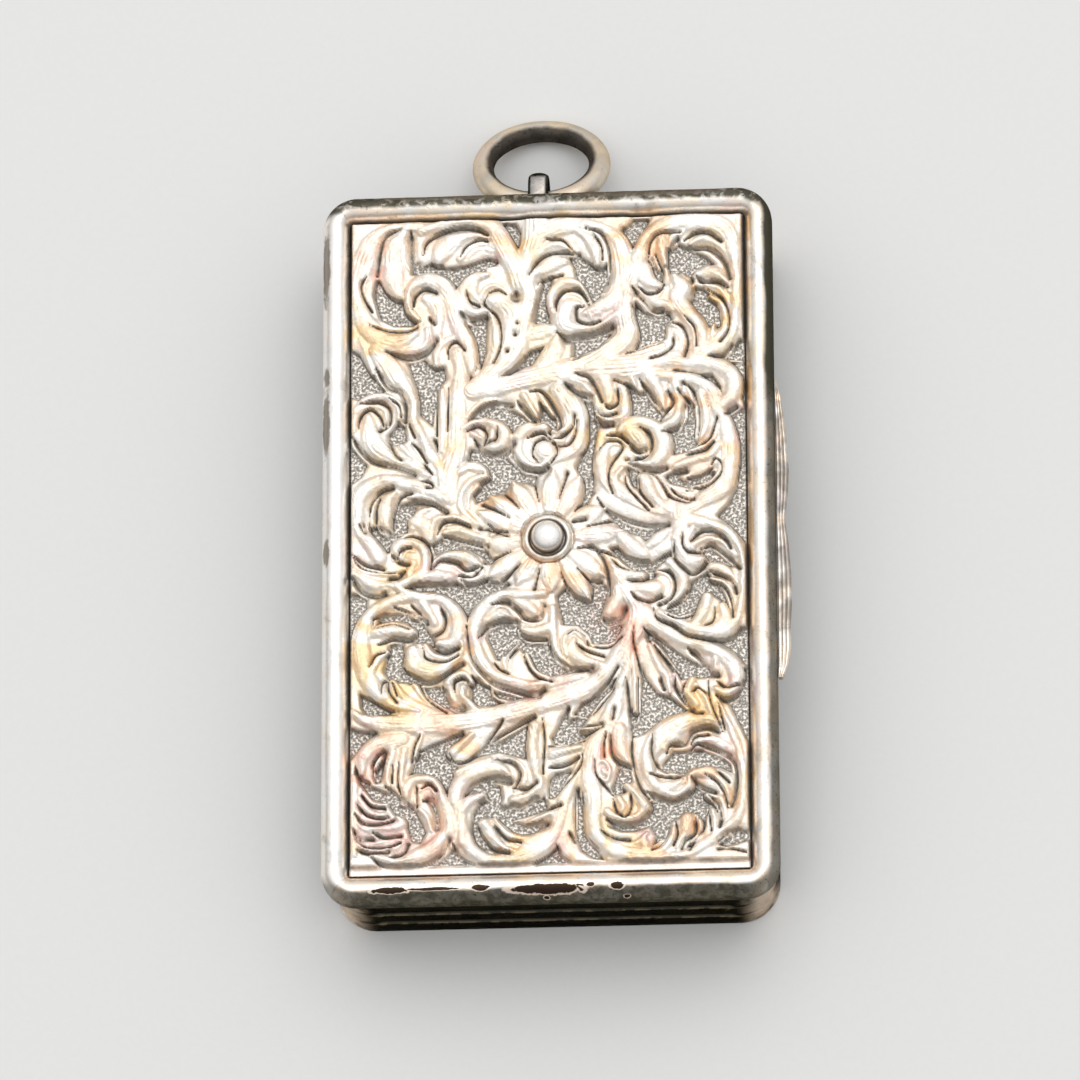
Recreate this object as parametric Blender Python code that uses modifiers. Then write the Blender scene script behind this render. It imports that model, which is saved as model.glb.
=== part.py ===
# Silver vinaigrette box with a relief lid, a pierced inner grille and a hanging ring
# Z points up from the surface it lies on, Y towards the ring and X towards the thumbpiece.
import math

import bmesh
import bpy
import numpy as np
from mathutils import Matrix

MM = 0.001
SEAM = 0.04 * MM
SMOOTH_ANGLE = math.radians(35)
BEVEL_ANGLE = math.radians(50)
BEVEL_SEGMENTS = 2

# Case
CASE_WIDTH = 25.2 * MM
CASE_LENGTH = 41.4 * MM
CASE_HEIGHT = 6.33 * MM
CASE_CORNER = 2.3 * MM
FLOOR_THICKNESS = 0.5 * MM
FLOOR_BEVEL = 0.2 * MM
WALL_THICKNESS = 0.7 * MM
REED_GROOVE_HEIGHTS = (2.0 * MM, 3.9 * MM)
REED_GROOVE_DEPTH = 0.22 * MM
REED_GROOVE_WIDTH = 0.42 * MM
FLANGE_THICKNESS = 0.35 * MM
FLANGE_DEPTH = 2.6 * MM
LEDGE_DEPTH = 0.73 * MM
LEDGE_WIDTH = 0.5 * MM
LEDGE_THICKNESS = 0.3 * MM
SPONGE_SLACK = 0.1 * MM
SPONGE_BEVEL = 0.8 * MM

# Lid
LID_OVERHANG = 0.3 * MM
PARTING_GAP = 0.07 * MM
LID_HEIGHT = 1.6 * MM
LID_CORNER = 2.0 * MM
RIM_WIDTH = 1.6 * MM
RIM_SHOULDER = 0.55 * MM
RIM_LEG = 0.75 * MM
RIM_INNER_CORNER = 0.15 * MM
RIM_EDGE = 0.08 * MM
RIM_ARC_DEGREES = (180, 152, 124, 96, 68, 40, 14)
LID_HOLLOW = 0.32 * MM
LID_PLATE_THICKNESS = 0.28 * MM
LID_WIDTH = CASE_WIDTH + 2 * LID_OVERHANG
LID_LENGTH = CASE_LENGTH + 2 * LID_OVERHANG
LID_BOTTOM = CASE_HEIGHT + PARTING_GAP
LID_TOP = LID_BOTTOM + LID_HEIGHT
LID_PLATE_BOTTOM = LID_BOTTOM + LID_HOLLOW
LID_PLATE_TOP = LID_PLATE_BOTTOM + LID_PLATE_THICKNESS

# Relief panel
PANEL_BACK = 0.16 * MM
RELIEF_HEIGHT = 0.9 * MM
PAD_HEIGHT = 0.38 * MM
PANEL_BOTTOM = LID_PLATE_TOP + SEAM
PANEL_GROUND = PANEL_BOTTOM + PANEL_BACK
PANEL_PAD = PANEL_GROUND + PAD_HEIGHT
SQUARES_ACROSS = 20
SQUARES_DOWN = 35
CELLS_PER_SQUARE = 2

# Flower boss
FLOWER_CENTRE_SHARES = (10.0, 17.45)
STUD_RADIUS = 0.95 * MM
STUD_NECK = 0.53 * MM
STUD_DOME = 0.65 * MM
COLLAR_RADIUS = 1.4 * MM
COLLAR_HEIGHT = 0.36 * MM
STUD_DOME_DEGREES = (68, 46, 24, 0)

# Lid hinge, let into the top of the left wall
HINGE_LENGTH = 24.0 * MM
KNUCKLE_COUNT = 5
KNUCKLE_RADIUS = 0.45 * MM
KNUCKLE_GAP = 0.08 * MM
KNUCKLE_PLAY = 0.03 * MM
PIN_RADIUS = 0.2 * MM
PIN_CLEARANCE = 0.04 * MM
HINGE_NOTCH_GAP = 0.06 * MM
HINGE_X = KNUCKLE_RADIUS + KNUCKLE_PLAY - LID_WIDTH / 2
HINGE_Z = LID_BOTTOM - KNUCKLE_RADIUS - KNUCKLE_PLAY

# Grille
GRILLE_THICKNESS = 0.4 * MM
GRILLE_PLAY = 0.06 * MM
GRILLE_SLACK = 0.12 * MM
GRILLE_CORNER = 1.0 * MM
GRILLE_KNUCKLE_RADIUS = 0.3 * MM
GRILLE_KNUCKLE_INSET = 0.09 * MM
GRILLE_PIN_RADIUS = 0.13 * MM
GRILLE_END_KNUCKLE = 2.4 * MM
GRILLE_CENTRE_KNUCKLE = 5.0 * MM
LEDGE_TOP = CASE_HEIGHT - LEDGE_DEPTH
GRILLE_BOTTOM = LEDGE_TOP + GRILLE_PLAY

# Thumbpiece, ring and its lug
THUMB_LENGTH = 17.7 * MM
THUMB_REACH = 0.8 * MM
THUMB_RAISE = 0.06 * MM
THUMB_THICKNESS = 0.6 * MM
THUMB_BEVEL = 0.1 * MM
THUMB_MIDDLE_Y = 0.6 * MM
LUG_X = -0.65 * MM
LUG_DROP = 1.93 * MM
LUG_REACH = 1.3 * MM
LUG_INNER_RADIUS = 0.85 * MM
LUG_THICKNESS = 0.35 * MM
LUG_WIDTH = 1.16 * MM
RING_OUTER_RADIUS = 4.02 * MM
RING_WIRE_RADIUS = 0.63 * MM
RING_WALL_GAP = 0.15 * MM
RING_SAG = 0.1 * MM
RING_REST_GAP = 0.02 * MM
LUG_Z = CASE_HEIGHT - LUG_DROP

# Steps of the round shapes
CORNER_STEPS = 6
TUBE_STEPS = 20
LUG_STEPS = 8
MERGE_DISTANCE = 0.001 * MM
RING_STEPS = 44
WIRE_STEPS = 12

# Hollows between the leaves, where the flat ground shows: outlines of places across and down,
# in twentieths of the panel's width and thirty-fifths of its length
HOLLOW_SHARES = (
    ((3.1, 2.4), (3.6, 2.5), (4.3, 2.2), (4.9, 2.6), (5.8, 2.5), (6.3, 2.3), (7.0, 2.1), (7.7, 2.3),
     (7.2, 2.6), (6.6, 3.0), (5.9, 3.4), (5.6, 3.9), (5.3, 4.3), (5.2, 3.9), (4.8, 3.3), (4.2, 3.0),
     (3.5, 3.0), (3.1, 2.9)),
    ((1.3, 3.1), (1.7, 3.1), (1.9, 3.8), (2.5, 4.2), (2.9, 4.4), (3.0, 5.0), (3.5, 5.5), (3.2, 5.7),
     (2.2, 5.7), (1.5, 5.3), (1.3, 4.7), (1.15, 4.0)),
    ((5.6, 5.2), (6.0, 5.4), (6.6, 5.6), (7.0, 5.3), (7.05, 6.0), (6.95, 7.2), (6.6, 8.4), (6.1, 8.9),
     (6.15, 8.2), (6.3, 7.4), (6.1, 6.6), (5.7, 5.9)),
    ((0.0, 6.9), (0.5, 7.2), (0.9, 8.0), (1.3, 8.4), (1.8, 9.2), (1.3, 9.5), (0.5, 9.7), (0.0, 9.5)),
    ((2.9, 7.7), (3.8, 7.5), (4.1, 7.9), (4.8, 8.0), (4.9, 8.6), (4.5, 9.2), (4.3, 10.4), (4.2, 11.2),
     (3.6, 10.7), (3.25, 10.3), (3.4, 9.3), (3.1, 8.5)),
    ((7.7, 0.15), (8.5, 0.3), (8.8, 0.9), (8.75, 1.7), (8.6, 2.5), (8.45, 2.0), (8.1, 1.2)),
    ((9.4, 3.9), (9.7, 3.4), (10.3, 3.3), (10.2, 4.0), (10.1, 4.9), (10.2, 5.8), (9.4, 5.9), (9.0, 5.9),
     (9.1, 5.3)),
    ((7.0, 8.9), (7.4, 8.6), (8.1, 8.1), (8.7, 7.4), (9.4, 7.1), (10.0, 7.0), (9.7, 7.5), (9.3, 8.1),
     (8.8, 8.4), (8.2, 8.8), (7.3, 8.95)),
    ((11.1, 2.2), (11.7, 2.1), (12.2, 2.6), (12.7, 2.9), (13.1, 2.6), (13.2, 3.2), (12.9, 3.9),
     (12.7, 4.5), (12.2, 4.9), (11.9, 4.1), (11.5, 3.4), (11.4, 2.8)),
    ((13.8, 0.7), (14.1, 0.6), (14.4, 0.2), (15.3, 0.2), (15.0, 0.9), (14.6, 1.6), (14.4, 2.3),
     (14.2, 1.7), (14.0, 1.2)),
    ((15.1, 2.4), (15.5, 2.0), (15.8, 2.7), (16.0, 3.1), (15.9, 3.9), (15.5, 3.7), (15.2, 3.1)),
    ((16.1, 2.0), (16.7, 1.6), (17.1, 1.9), (17.6, 2.1), (18.2, 2.4), (18.6, 2.8), (17.9, 2.9),
     (17.6, 3.4), (17.4, 3.9), (17.3, 3.5), (16.9, 3.2), (16.3, 3.4), (16.1, 2.8)),
    ((17.5, 4.0), (18.0, 4.1), (18.5, 4.6), (18.8, 5.3), (18.9, 6.2), (18.6, 6.3), (18.2, 6.2),
     (17.9, 5.6), (17.4, 5.1), (17.2, 4.9), (17.4, 4.6)),
    ((14.2, 4.7), (14.5, 4.8), (15.0, 5.3), (15.7, 5.5), (16.2, 5.3), (16.4, 5.7), (16.1, 6.0),
     (16.0, 6.8), (15.6, 7.0), (15.0, 7.2), (14.4, 7.4), (14.7, 6.7), (14.5, 6.2), (14.5, 5.5),
     (14.1, 5.1)),
    ((11.3, 6.7), (12.3, 6.7), (13.0, 6.4), (13.4, 6.5), (13.0, 7.0), (12.8, 7.4), (12.1, 7.6),
     (11.7, 8.0), (11.0, 8.2), (11.3, 7.5)),
    ((0.0, 12.1), (0.4, 12.6), (0.9, 13.2), (0.6, 13.8), (0.1, 14.2), (0.0, 14.0)),
    ((1.9, 11.6), (2.4, 11.0), (2.8, 11.1), (2.9, 11.9), (2.5, 12.2), (2.0, 12.1)),
    ((1.0, 16.2), (1.3, 16.4), (1.6, 16.9), (2.1, 17.0), (2.7, 17.0), (2.3, 17.4), (2.1, 17.9),
     (1.7, 18.0), (1.3, 17.6), (1.0, 17.0)),
    ((2.5, 15.4), (3.0, 15.3), (3.4, 15.5), (3.2, 16.3), (2.9, 16.9), (2.2, 17.0), (2.1, 16.4),
     (2.2, 15.8)),
    ((6.2, 10.6), (7.0, 10.2), (7.8, 10.2), (8.4, 10.5), (8.9, 10.8), (9.3, 11.2), (8.9, 11.3),
     (8.4, 11.6), (8.2, 12.2), (8.0, 11.9), (7.8, 11.2), (7.1, 10.9), (6.5, 10.95)),
    ((5.2, 13.6), (5.5, 13.2), (6.1, 12.5), (6.5, 12.5), (7.0, 12.9), (7.9, 12.9), (8.3, 13.3),
     (8.9, 13.9), (9.5, 14.0), (9.4, 14.6), (9.0, 14.4), (8.2, 14.3), (7.9, 14.8), (7.2, 15.1),
     (6.4, 15.4), (6.2, 15.0), (6.6, 14.4), (7.1, 14.0), (6.9, 13.7), (6.5, 13.4), (5.9, 13.3),
     (5.6, 13.6), (5.3, 14.0)),
    ((4.2, 11.9), (4.5, 11.9), (4.75, 12.3), (4.7, 12.7), (4.5, 12.7), (4.3, 12.4)),
    ((9.6, 10.0), (10.1, 10.3), (10.5, 10.9), (10.5, 11.5), (10.1, 11.9), (9.8, 11.3), (9.5, 11.1),
     (9.7, 10.6)),
    ((11.6, 10.0), (12.3, 10.0), (12.4, 10.7), (12.6, 11.4), (12.4, 12.2), (12.3, 13.2), (12.4, 14.6),
     (12.2, 15.2), (12.0, 15.8), (11.4, 15.8), (11.6, 15.0), (11.7, 14.2), (11.4, 13.6), (11.9, 12.6),
     (12.0, 11.4), (11.9, 10.6)),
    ((13.4, 8.9), (14.0, 9.2), (14.6, 9.7), (15.0, 9.6), (15.3, 10.2), (15.8, 10.7), (15.8, 11.2),
     (15.6, 11.5), (15.0, 11.1), (14.3, 11.1), (14.2, 10.5), (14.1, 9.8)),
    ((16.0, 11.9), (16.7, 11.8), (17.0, 11.1), (17.0, 10.3), (17.4, 10.5), (17.6, 11.4), (17.6, 12.4),
     (17.3, 12.9), (16.7, 13.0), (16.1, 13.1), (16.2, 12.4)),
    ((15.6, 8.45), (16.0, 8.4), (17.2, 8.7), (18.4, 8.8), (18.8, 9.4), (18.8, 10.3), (18.6, 10.1),
     (18.3, 9.4), (17.4, 9.0), (16.0, 8.75)),
    ((14.0, 13.7), (14.7, 13.8), (14.6, 14.4), (14.8, 15.0), (14.4, 14.9), (14.1, 14.4)),
    ((16.4, 14.0), (16.9, 14.5), (17.6, 14.3), (18.3, 14.0), (18.5, 14.2), (18.1, 14.7), (17.3, 14.95),
     (16.7, 14.8), (16.2, 14.6), (15.9, 14.2)),
    ((19.2, 8.1), (20.0, 8.1), (20.0, 10.6), (19.8, 10.0), (19.8, 9.2), (19.5, 8.6)),
    ((19.1, 11.0), (19.8, 10.6), (20.0, 10.6), (20.0, 18.0), (19.7, 17.6), (19.2, 17.0), (18.5, 16.4),
     (19.0, 15.9), (19.5, 14.9), (19.7, 13.4), (19.5, 12.2), (19.3, 11.6)),
    ((19.0, 8.0), (19.4, 7.3), (19.8, 6.9), (20.0, 7.0), (20.0, 8.1), (19.2, 8.1)),
    ((4.1, 17.6), (4.7, 17.2), (5.5, 17.5), (6.2, 17.7), (6.9, 17.9), (7.2, 18.3), (7.4, 18.6),
     (7.1, 18.7), (6.7, 18.3), (6.0, 17.9), (5.0, 17.9), (4.3, 18.1)),
    ((2.4, 19.0), (2.9, 18.9), (2.6, 19.3), (2.3, 19.4), (1.9, 19.6), (2.1, 19.2)),
    ((2.7, 20.0), (3.3, 19.75), (4.2, 19.7), (5.0, 19.9), (5.4, 19.6), (5.9, 19.9), (6.8, 19.8),
     (7.0, 19.7), (8.1, 19.8), (7.5, 20.2), (6.9, 20.5), (6.3, 21.0), (5.9, 21.7), (5.6, 21.0),
     (5.0, 20.4), (4.2, 20.1), (3.4, 20.0)),
    ((0.0, 20.1), (0.4, 20.1), (0.9, 20.4), (0.9, 20.9), (0.4, 21.5), (0.1, 22.5), (0.0, 22.5)),
    ((1.2, 21.5), (2.0, 21.3), (3.0, 21.3), (3.7, 21.7), (4.0, 22.2), (4.3, 22.6), (4.5, 23.0),
     (4.2, 23.1), (3.9, 22.8), (3.3, 22.8), (3.3, 22.2), (2.9, 21.7), (2.2, 21.6), (1.5, 21.7),
     (1.2, 21.9)),
    ((2.0, 22.9), (2.7, 22.7), (2.8, 23.4), (2.7, 24.0), (3.2, 24.6), (3.7, 25.0), (3.4, 25.2),
     (2.9, 24.9), (2.0, 24.8), (1.7, 24.3), (1.8, 23.5)),
    ((7.0, 22.2), (7.6, 21.9), (8.5, 21.9), (8.5, 22.5), (8.9, 22.9), (9.4, 23.0), (10.1, 22.9),
     (10.3, 23.8), (10.8, 24.3), (11.6, 24.5), (12.2, 24.5), (11.8, 24.8), (10.8, 24.8), (10.0, 24.9),
     (9.3, 24.4), (8.9, 23.7), (8.6, 23.2), (8.2, 23.6), (7.9, 23.9), (7.4, 23.8), (7.1, 23.3),
     (6.9, 22.6)),
    ((10.4, 20.5), (10.9, 20.0), (11.1, 20.4), (11.9, 20.8), (12.1, 20.9), (12.2, 20.0), (12.7, 19.9),
     (13.1, 20.1), (13.0, 20.7), (12.8, 21.2), (12.6, 21.9), (13.0, 22.2), (13.6, 22.0), (13.9, 22.3),
     (13.7, 22.8), (13.0, 23.1), (12.2, 23.1), (12.0, 22.6), (11.5, 22.1), (10.7, 22.0), (10.6, 21.3)),
    ((13.1, 18.0), (13.6, 17.9), (14.0, 18.6), (14.6, 18.9), (15.2, 18.8), (15.9, 18.4), (16.3, 18.2),
     (16.2, 18.7), (15.7, 18.9), (15.4, 19.2), (15.6, 19.4), (15.2, 19.8), (14.9, 19.9), (15.0, 19.4),
     (14.2, 19.2), (13.6, 18.6)),
    ((13.1, 16.2), (13.5, 16.3), (14.2, 16.8), (15.0, 17.0), (15.8, 16.95), (15.4, 17.3), (14.9, 17.7),
     (14.7, 17.4), (14.0, 17.2), (13.6, 16.9)),
    ((16.0, 21.4), (16.6, 21.0), (17.0, 20.6), (17.1, 20.0), (17.6, 19.6), (18.1, 19.4), (18.3, 19.9),
     (18.7, 20.2), (19.0, 20.9), (19.2, 21.8), (19.3, 22.3), (19.0, 21.5), (18.6, 20.9), (18.2, 20.6),
     (17.6, 20.9), (17.3, 21.5), (16.6, 21.7), (16.1, 21.6)),
    ((17.7, 18.3), (18.2, 18.1), (18.8, 18.6), (19.4, 19.1), (19.1, 19.2), (18.5, 18.9), (18.1, 18.9),
     (18.0, 18.6)),
    ((18.6, 23.2), (19.2, 23.0), (19.8, 22.4), (20.0, 22.4), (20.0, 24.6), (19.7, 24.3), (19.3, 23.7)),
    ((14.8, 22.3), (15.2, 22.5), (15.8, 23.1), (16.7, 23.7), (17.3, 24.2), (17.8, 24.4), (18.1, 24.5),
     (18.1, 25.0), (17.3, 25.0), (16.6, 25.1), (16.2, 24.7), (15.8, 24.1), (15.4, 23.4), (15.0, 23.0)),
    ((3.7, 25.2), (4.3, 25.1), (4.6, 25.2), (4.8, 25.9), (5.3, 26.3), (5.7, 26.5), (5.6, 26.9),
     (5.2, 26.8), (4.6, 26.4), (4.1, 25.9)),
    ((6.2, 24.6), (6.6, 24.6), (7.1, 25.2), (7.2, 25.8), (7.6, 26.1), (7.9, 26.2), (7.3, 26.5),
     (6.6, 26.4), (6.1, 26.0), (6.2, 25.4)),
    ((7.1, 25.4), (8.0, 25.6), (9.2, 25.9), (9.6, 25.6), (9.9, 25.7), (9.8, 26.1), (9.4, 26.2),
     (8.4, 26.05), (7.5, 25.85)),
    ((0.5, 25.4), (0.9, 25.6), (1.6, 26.1), (2.6, 26.6), (3.3, 26.7), (3.3, 26.95), (2.2, 26.9),
     (1.0, 26.8), (0.6, 26.2)),
    ((0.0, 27.2), (0.5, 27.4), (1.5, 27.5), (0.9, 27.9), (0.5, 28.4), (0.1, 28.9), (0.0, 28.8)),
    ((3.4, 28.7), (4.4, 28.3), (5.0, 28.0), (5.7, 27.8), (5.3, 28.2), (5.0, 28.7), (5.2, 29.2),
     (5.5, 29.4), (5.2, 30.0), (5.0, 30.8), (4.8, 31.5), (4.7, 30.9), (4.5, 30.2), (4.0, 29.8),
     (3.4, 29.7), (3.0, 29.8), (3.2, 29.2)),
    ((6.5, 28.6), (7.0, 28.2), (7.6, 28.1), (8.3, 27.6), (9.0, 27.2), (9.1, 27.6), (8.9, 28.2),
     (8.9, 29.1), (8.5, 28.9), (7.5, 28.7), (6.6, 28.9), (6.1, 29.0)),
    ((1.2, 29.9), (1.3, 29.2), (1.9, 28.6), (1.8, 29.1), (1.6, 29.7), (1.6, 30.1), (1.3, 30.2)),
    ((0.4, 30.0), (0.9, 30.2), (1.5, 30.5), (2.2, 30.8), (2.6, 31.2), (3.4, 31.7), (3.6, 32.1),
     (3.9, 32.8), (3.6, 33.4), (3.1, 33.3), (2.9, 32.8), (2.8, 32.3), (2.3, 31.9), (1.9, 31.3),
     (1.1, 31.0), (0.8, 30.6)),
    ((5.9, 31.0), (6.4, 30.5), (7.1, 30.2), (7.6, 30.5), (7.7, 31.1), (7.6, 31.5), (8.4, 31.8),
     (9.2, 31.6), (9.8, 31.0), (9.9, 31.4), (10.0, 31.8), (9.4, 31.9), (8.7, 32.1), (8.2, 32.3),
     (8.7, 32.7), (9.7, 32.6), (9.4, 33.0), (8.7, 33.1), (8.1, 32.9), (7.5, 32.3), (7.0, 32.1),
     (6.6, 32.4), (6.6, 33.1), (7.0, 33.8), (6.6, 33.9), (6.2, 33.4), (6.1, 32.6), (6.2, 31.9),
     (6.6, 31.3), (7.0, 31.2), (6.7, 30.9), (6.2, 31.0)),
    ((4.0, 34.6), (4.6, 34.1), (5.05, 33.3), (5.4, 34.0), (5.8, 34.4), (6.4, 34.8), (6.4, 35.0),
     (3.6, 35.0), (3.6, 34.8)),
    ((10.0, 30.2), (10.3, 29.9), (10.7, 29.8), (11.2, 29.8), (11.0, 30.2), (10.6, 30.8), (10.2, 31.2),
     (9.9, 31.2), (9.9, 30.6)),
    ((10.1, 28.0), (10.5, 27.5), (10.6, 27.0), (11.0, 26.5), (11.0, 27.1), (11.5, 26.9), (12.0, 27.0),
     (11.7, 27.5), (12.5, 27.6), (12.2, 27.9), (11.5, 28.1), (11.0, 28.4), (10.3, 28.4)),
    ((11.2, 26.8), (11.6, 26.3), (12.3, 25.8), (13.0, 25.0), (13.6, 24.2), (13.5, 24.8), (13.2, 25.5),
     (12.6, 26.1), (12.2, 26.7), (12.0, 27.0), (11.5, 26.9)),
    ((14.7, 24.3), (15.0, 25.1), (15.5, 25.8), (16.1, 26.0), (16.6, 26.4), (17.1, 26.8), (17.0, 27.0),
     (16.2, 27.1), (15.4, 27.4), (14.8, 27.9), (14.2, 28.1), (14.1, 27.6), (14.5, 27.2), (14.6, 26.4),
     (14.6, 25.3)),
    ((14.05, 26.6), (14.3, 26.5), (14.5, 26.9), (14.45, 27.3), (14.2, 27.3)),
    ((16.0, 29.1), (16.2, 28.9), (17.0, 28.9), (17.7, 28.8), (18.5, 29.1), (19.1, 29.6), (19.2, 30.1),
     (18.6, 29.8), (17.8, 29.7), (17.1, 29.8), (16.8, 30.1), (16.3, 30.0), (15.8, 29.9), (15.6, 29.6)),
    ((13.5, 29.6), (14.1, 29.8), (14.2, 30.4), (13.9, 30.6), (13.8, 31.0), (13.3, 31.1), (13.1, 30.9),
     (13.3, 30.3)),
    ((17.1, 30.5), (17.7, 31.0), (18.0, 31.3), (18.4, 31.9), (18.5, 32.4), (18.1, 31.9), (17.9, 32.2),
     (17.7, 32.7), (17.4, 32.2), (16.9, 32.1), (16.3, 32.4), (15.9, 32.7), (15.8, 33.4), (15.4, 33.9),
     (15.1, 34.0), (15.3, 33.3), (15.0, 32.8), (14.3, 33.0), (13.6, 33.0), (13.0, 32.7), (13.6, 32.7),
     (14.5, 32.7), (15.0, 32.2), (15.0, 31.4), (15.5, 31.5), (16.3, 31.6), (17.0, 31.2)),
    ((11.35, 30.8), (11.6, 30.6), (11.75, 31.0), (11.7, 32.0), (11.75, 33.2), (12.2, 33.8), (12.8, 34.5),
     (12.2, 34.4), (11.6, 34.0), (11.4, 33.5), (11.3, 32.5)),
    ((10.3, 33.6), (10.5, 34.3), (11.1, 34.7), (10.6, 34.9), (9.5, 34.8), (8.6, 34.9), (9.5, 34.4)),
    ((18.4, 33.8), (18.7, 33.4), (19.3, 33.15), (19.9, 33.1), (20.0, 33.6), (19.3, 33.8), (18.8, 33.95)),
    ((16.6, 34.0), (17.0, 33.6), (17.5, 33.3), (17.3, 33.9), (16.9, 34.15)),
)
LEAF_HEIGHT_SHARE = 0.74
HOLLOW_SLOPE_SHARE = 0.3
PETAL_SPREAD_SHARE = 0.72
PETAL_COUNT = 13
PETAL_HEIGHT_SHARE = 0.85
# One petal of the flower: distance from its centre and breadth, in drawing squares
PETAL_SHARES = ((1.0, 0.6), (1.92, 1.15), (3.2, 0.8))

# Rosettes of slots in one quarter of the grille: across and along, in shares of
# its half width and half length; the slots are in shares of a rosette's half size
ROSETTE_SHARES = ((0.5, 0.77), (0.5, 0.38))
ROSETTE_ROOM_SHARES = (0.5, 0.195)
ROSETTE_SLOTS = 6
ROSETTE_RADIUS_SHARE = 0.68
SLOT_LENGTH_SHARE = 0.55
SLOT_BREADTH_SHARE = 0.31
SLOT_TAPER_SHARE = 0.67
SLOT_STEPS = 10
ROSETTE_TWIST = math.radians(55)
CENTRE_SLOTS = 8
CENTRE_RADIUS_SHARE = 0.64
ROUND_HOLE_SHARES = ((0.0, 0.34), (0.0, 0.575), (0.0, 0.82), (0.84, 0.0), (0.5, 0.05), (0.85, 0.575), (0.88, 0.93))
ROUND_HOLE_RADIUS = 0.45 * MM

# Half-round cross-section of the lug: across and outwards
LUG_SECTION_SHARES = ((-1, 0), (1, 0), (1, 0.45), (0.55, 0.85), (0, 1), (-0.55, 0.85), (-1, 0.45))

# Cross-section of the flower's collar: outwards from the stud, and height
COLLAR_SECTION_SHARES = ((0, 0), (0, 0.6), (0.5, 1), (0.85, 0.8), (1, 0))

# Outer edge of the thumbpiece: along its length from the middle, and reach
THUMB_EDGE_SHARES = (
    (0.5, 0.0), (0.46, 0.35), (0.4, 0.55), (0.3, 0.78), (0.2, 0.9), (0.12, 0.82), (0.03, 0.6),
    (-0.05, 0.82), (-0.15, 0.98), (-0.25, 1.0), (-0.33, 0.88), (-0.4, 0.9), (-0.46, 0.7), (-0.5, 0.3), (-0.5, 0.0),
)


def clear_objects():
    for item in list(bpy.data.objects):
        bpy.data.objects.remove(item, do_unlink=True)


def make_material(name, colour, roughness, metallic):
    material = bpy.data.materials.new(name)
    material.use_nodes = True
    shader = material.node_tree.nodes["Principled BSDF"]
    shader.inputs["Base Color"].default_value = (*colour, 1.0)
    shader.inputs["Roughness"].default_value = roughness
    shader.inputs["Metallic"].default_value = metallic
    return material


def bright_silver():
    return make_material("worn_silver", (0.78, 0.74, 0.68), 0.32, 1.0)


def dark_silver():
    return make_material("tarnished_silver", (0.40, 0.38, 0.34), 0.4, 1.0)


def gilt():
    return make_material("gilt", (0.86, 0.63, 0.28), 0.3, 1.0)


def sponge_brown():
    return make_material("sponge", (0.46, 0.30, 0.14), 0.95, 0.0)


def place(collection, item, material, smooth=True):
    item.data.materials.append(material)
    collection.objects.link(item)
    if smooth and item.type == "MESH":
        item.data.shade_smooth()
        item.data.set_sharp_from_angle(angle=SMOOTH_ANGLE)
    return item


def mesh_object(name, bm):
    bmesh.ops.recalc_face_normals(bm, faces=bm.faces)
    mesh = bpy.data.meshes.new(name)
    bm.to_mesh(mesh)
    bm.free()
    return bpy.data.objects.new(name, mesh)


# A body through a row of cross-sections, closed to a loop or capped at both ends
def loft(name, sections, looped):
    bm = bmesh.new()
    rows = [[bm.verts.new(point) for point in section] for section in sections]
    count = len(rows[0])
    pairs = list(zip(rows, rows[1:]))
    if looped:
        pairs.append((rows[-1], rows[0]))
    for first, second in pairs:
        for index in range(count):
            after = (index + 1) % count
            bm.faces.new((first[index], first[after], second[after], second[index]))
    if not looped:
        bm.faces.new(rows[0])
        bm.faces.new(reversed(rows[-1]))
    return mesh_object(name, bm)


# One point of a rounded rectangle's corner, seen from its middle
def corner_point(half_width, half_length, radius, quarter, angle):
    side_x = 1 if quarter in (0, 3) else -1
    side_y = 1 if quarter in (0, 1) else -1
    x = side_x * (half_width - radius) + radius * math.cos(angle)
    y = side_y * (half_length - radius) + radius * math.sin(angle)
    return x, y


def rounded_outline(half_width, half_length, radius):
    points = []
    for quarter in range(4):
        for step in range(CORNER_STEPS + 1):
            angle = math.radians(90) * (quarter + step / CORNER_STEPS)
            points.append(corner_point(half_width, half_length, radius, quarter, angle))
    return points


def plate(name, half_width, half_length, radius, bottom, top):
    outline = rounded_outline(half_width, half_length, radius)
    sections = [[(x, y, z) for x, y in outline] for z in (bottom, top)]
    return loft(name, sections, looped=False)


# A band that follows a rounded rectangle; each profile point is inset and height
def band(name, half_width, half_length, radius, profile):
    sections = []
    for quarter in range(4):
        for step in range(CORNER_STEPS + 1):
            angle = math.radians(90) * (quarter + step / CORNER_STEPS)
            section = []
            for inset, z in profile:
                x, y = corner_point(half_width - inset, half_length - inset, radius - inset, quarter, angle)
                section.append((x, y, z))
            sections.append(section)
    return loft(name, sections, looped=True)


def tube(name, radius, bore, length):
    sections = []
    for step in range(TUBE_STEPS):
        angle = math.tau * step / TUBE_STEPS
        c, s = math.cos(angle), math.sin(angle)
        corners = ((radius, -length / 2), (radius, length / 2), (bore, length / 2), (bore, -length / 2))
        sections.append([(r * c, y, r * s) for r, y in corners])
    return loft(name, sections, looped=True)


def rod(name, radius, length):
    circle = [math.tau * step / TUBE_STEPS for step in range(TUBE_STEPS)]
    sections = []
    for y in (-length / 2, length / 2):
        sections.append([(radius * math.cos(a), y, radius * math.sin(a)) for a in circle])
    return loft(name, sections, looped=False)


def add_bevel(item, width, segments):
    bevel = item.modifiers.new("soft_edges", "BEVEL")
    bevel.width = width
    bevel.segments = segments
    bevel.limit_method = "ANGLE"
    bevel.angle_limit = BEVEL_ANGLE


def build_floor(collection, material):
    item = plate("case_floor", CASE_WIDTH / 2, CASE_LENGTH / 2, CASE_CORNER, 0, FLOOR_THICKNESS)
    add_bevel(item, FLOOR_BEVEL, BEVEL_SEGMENTS)
    place(collection, item, material)


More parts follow.
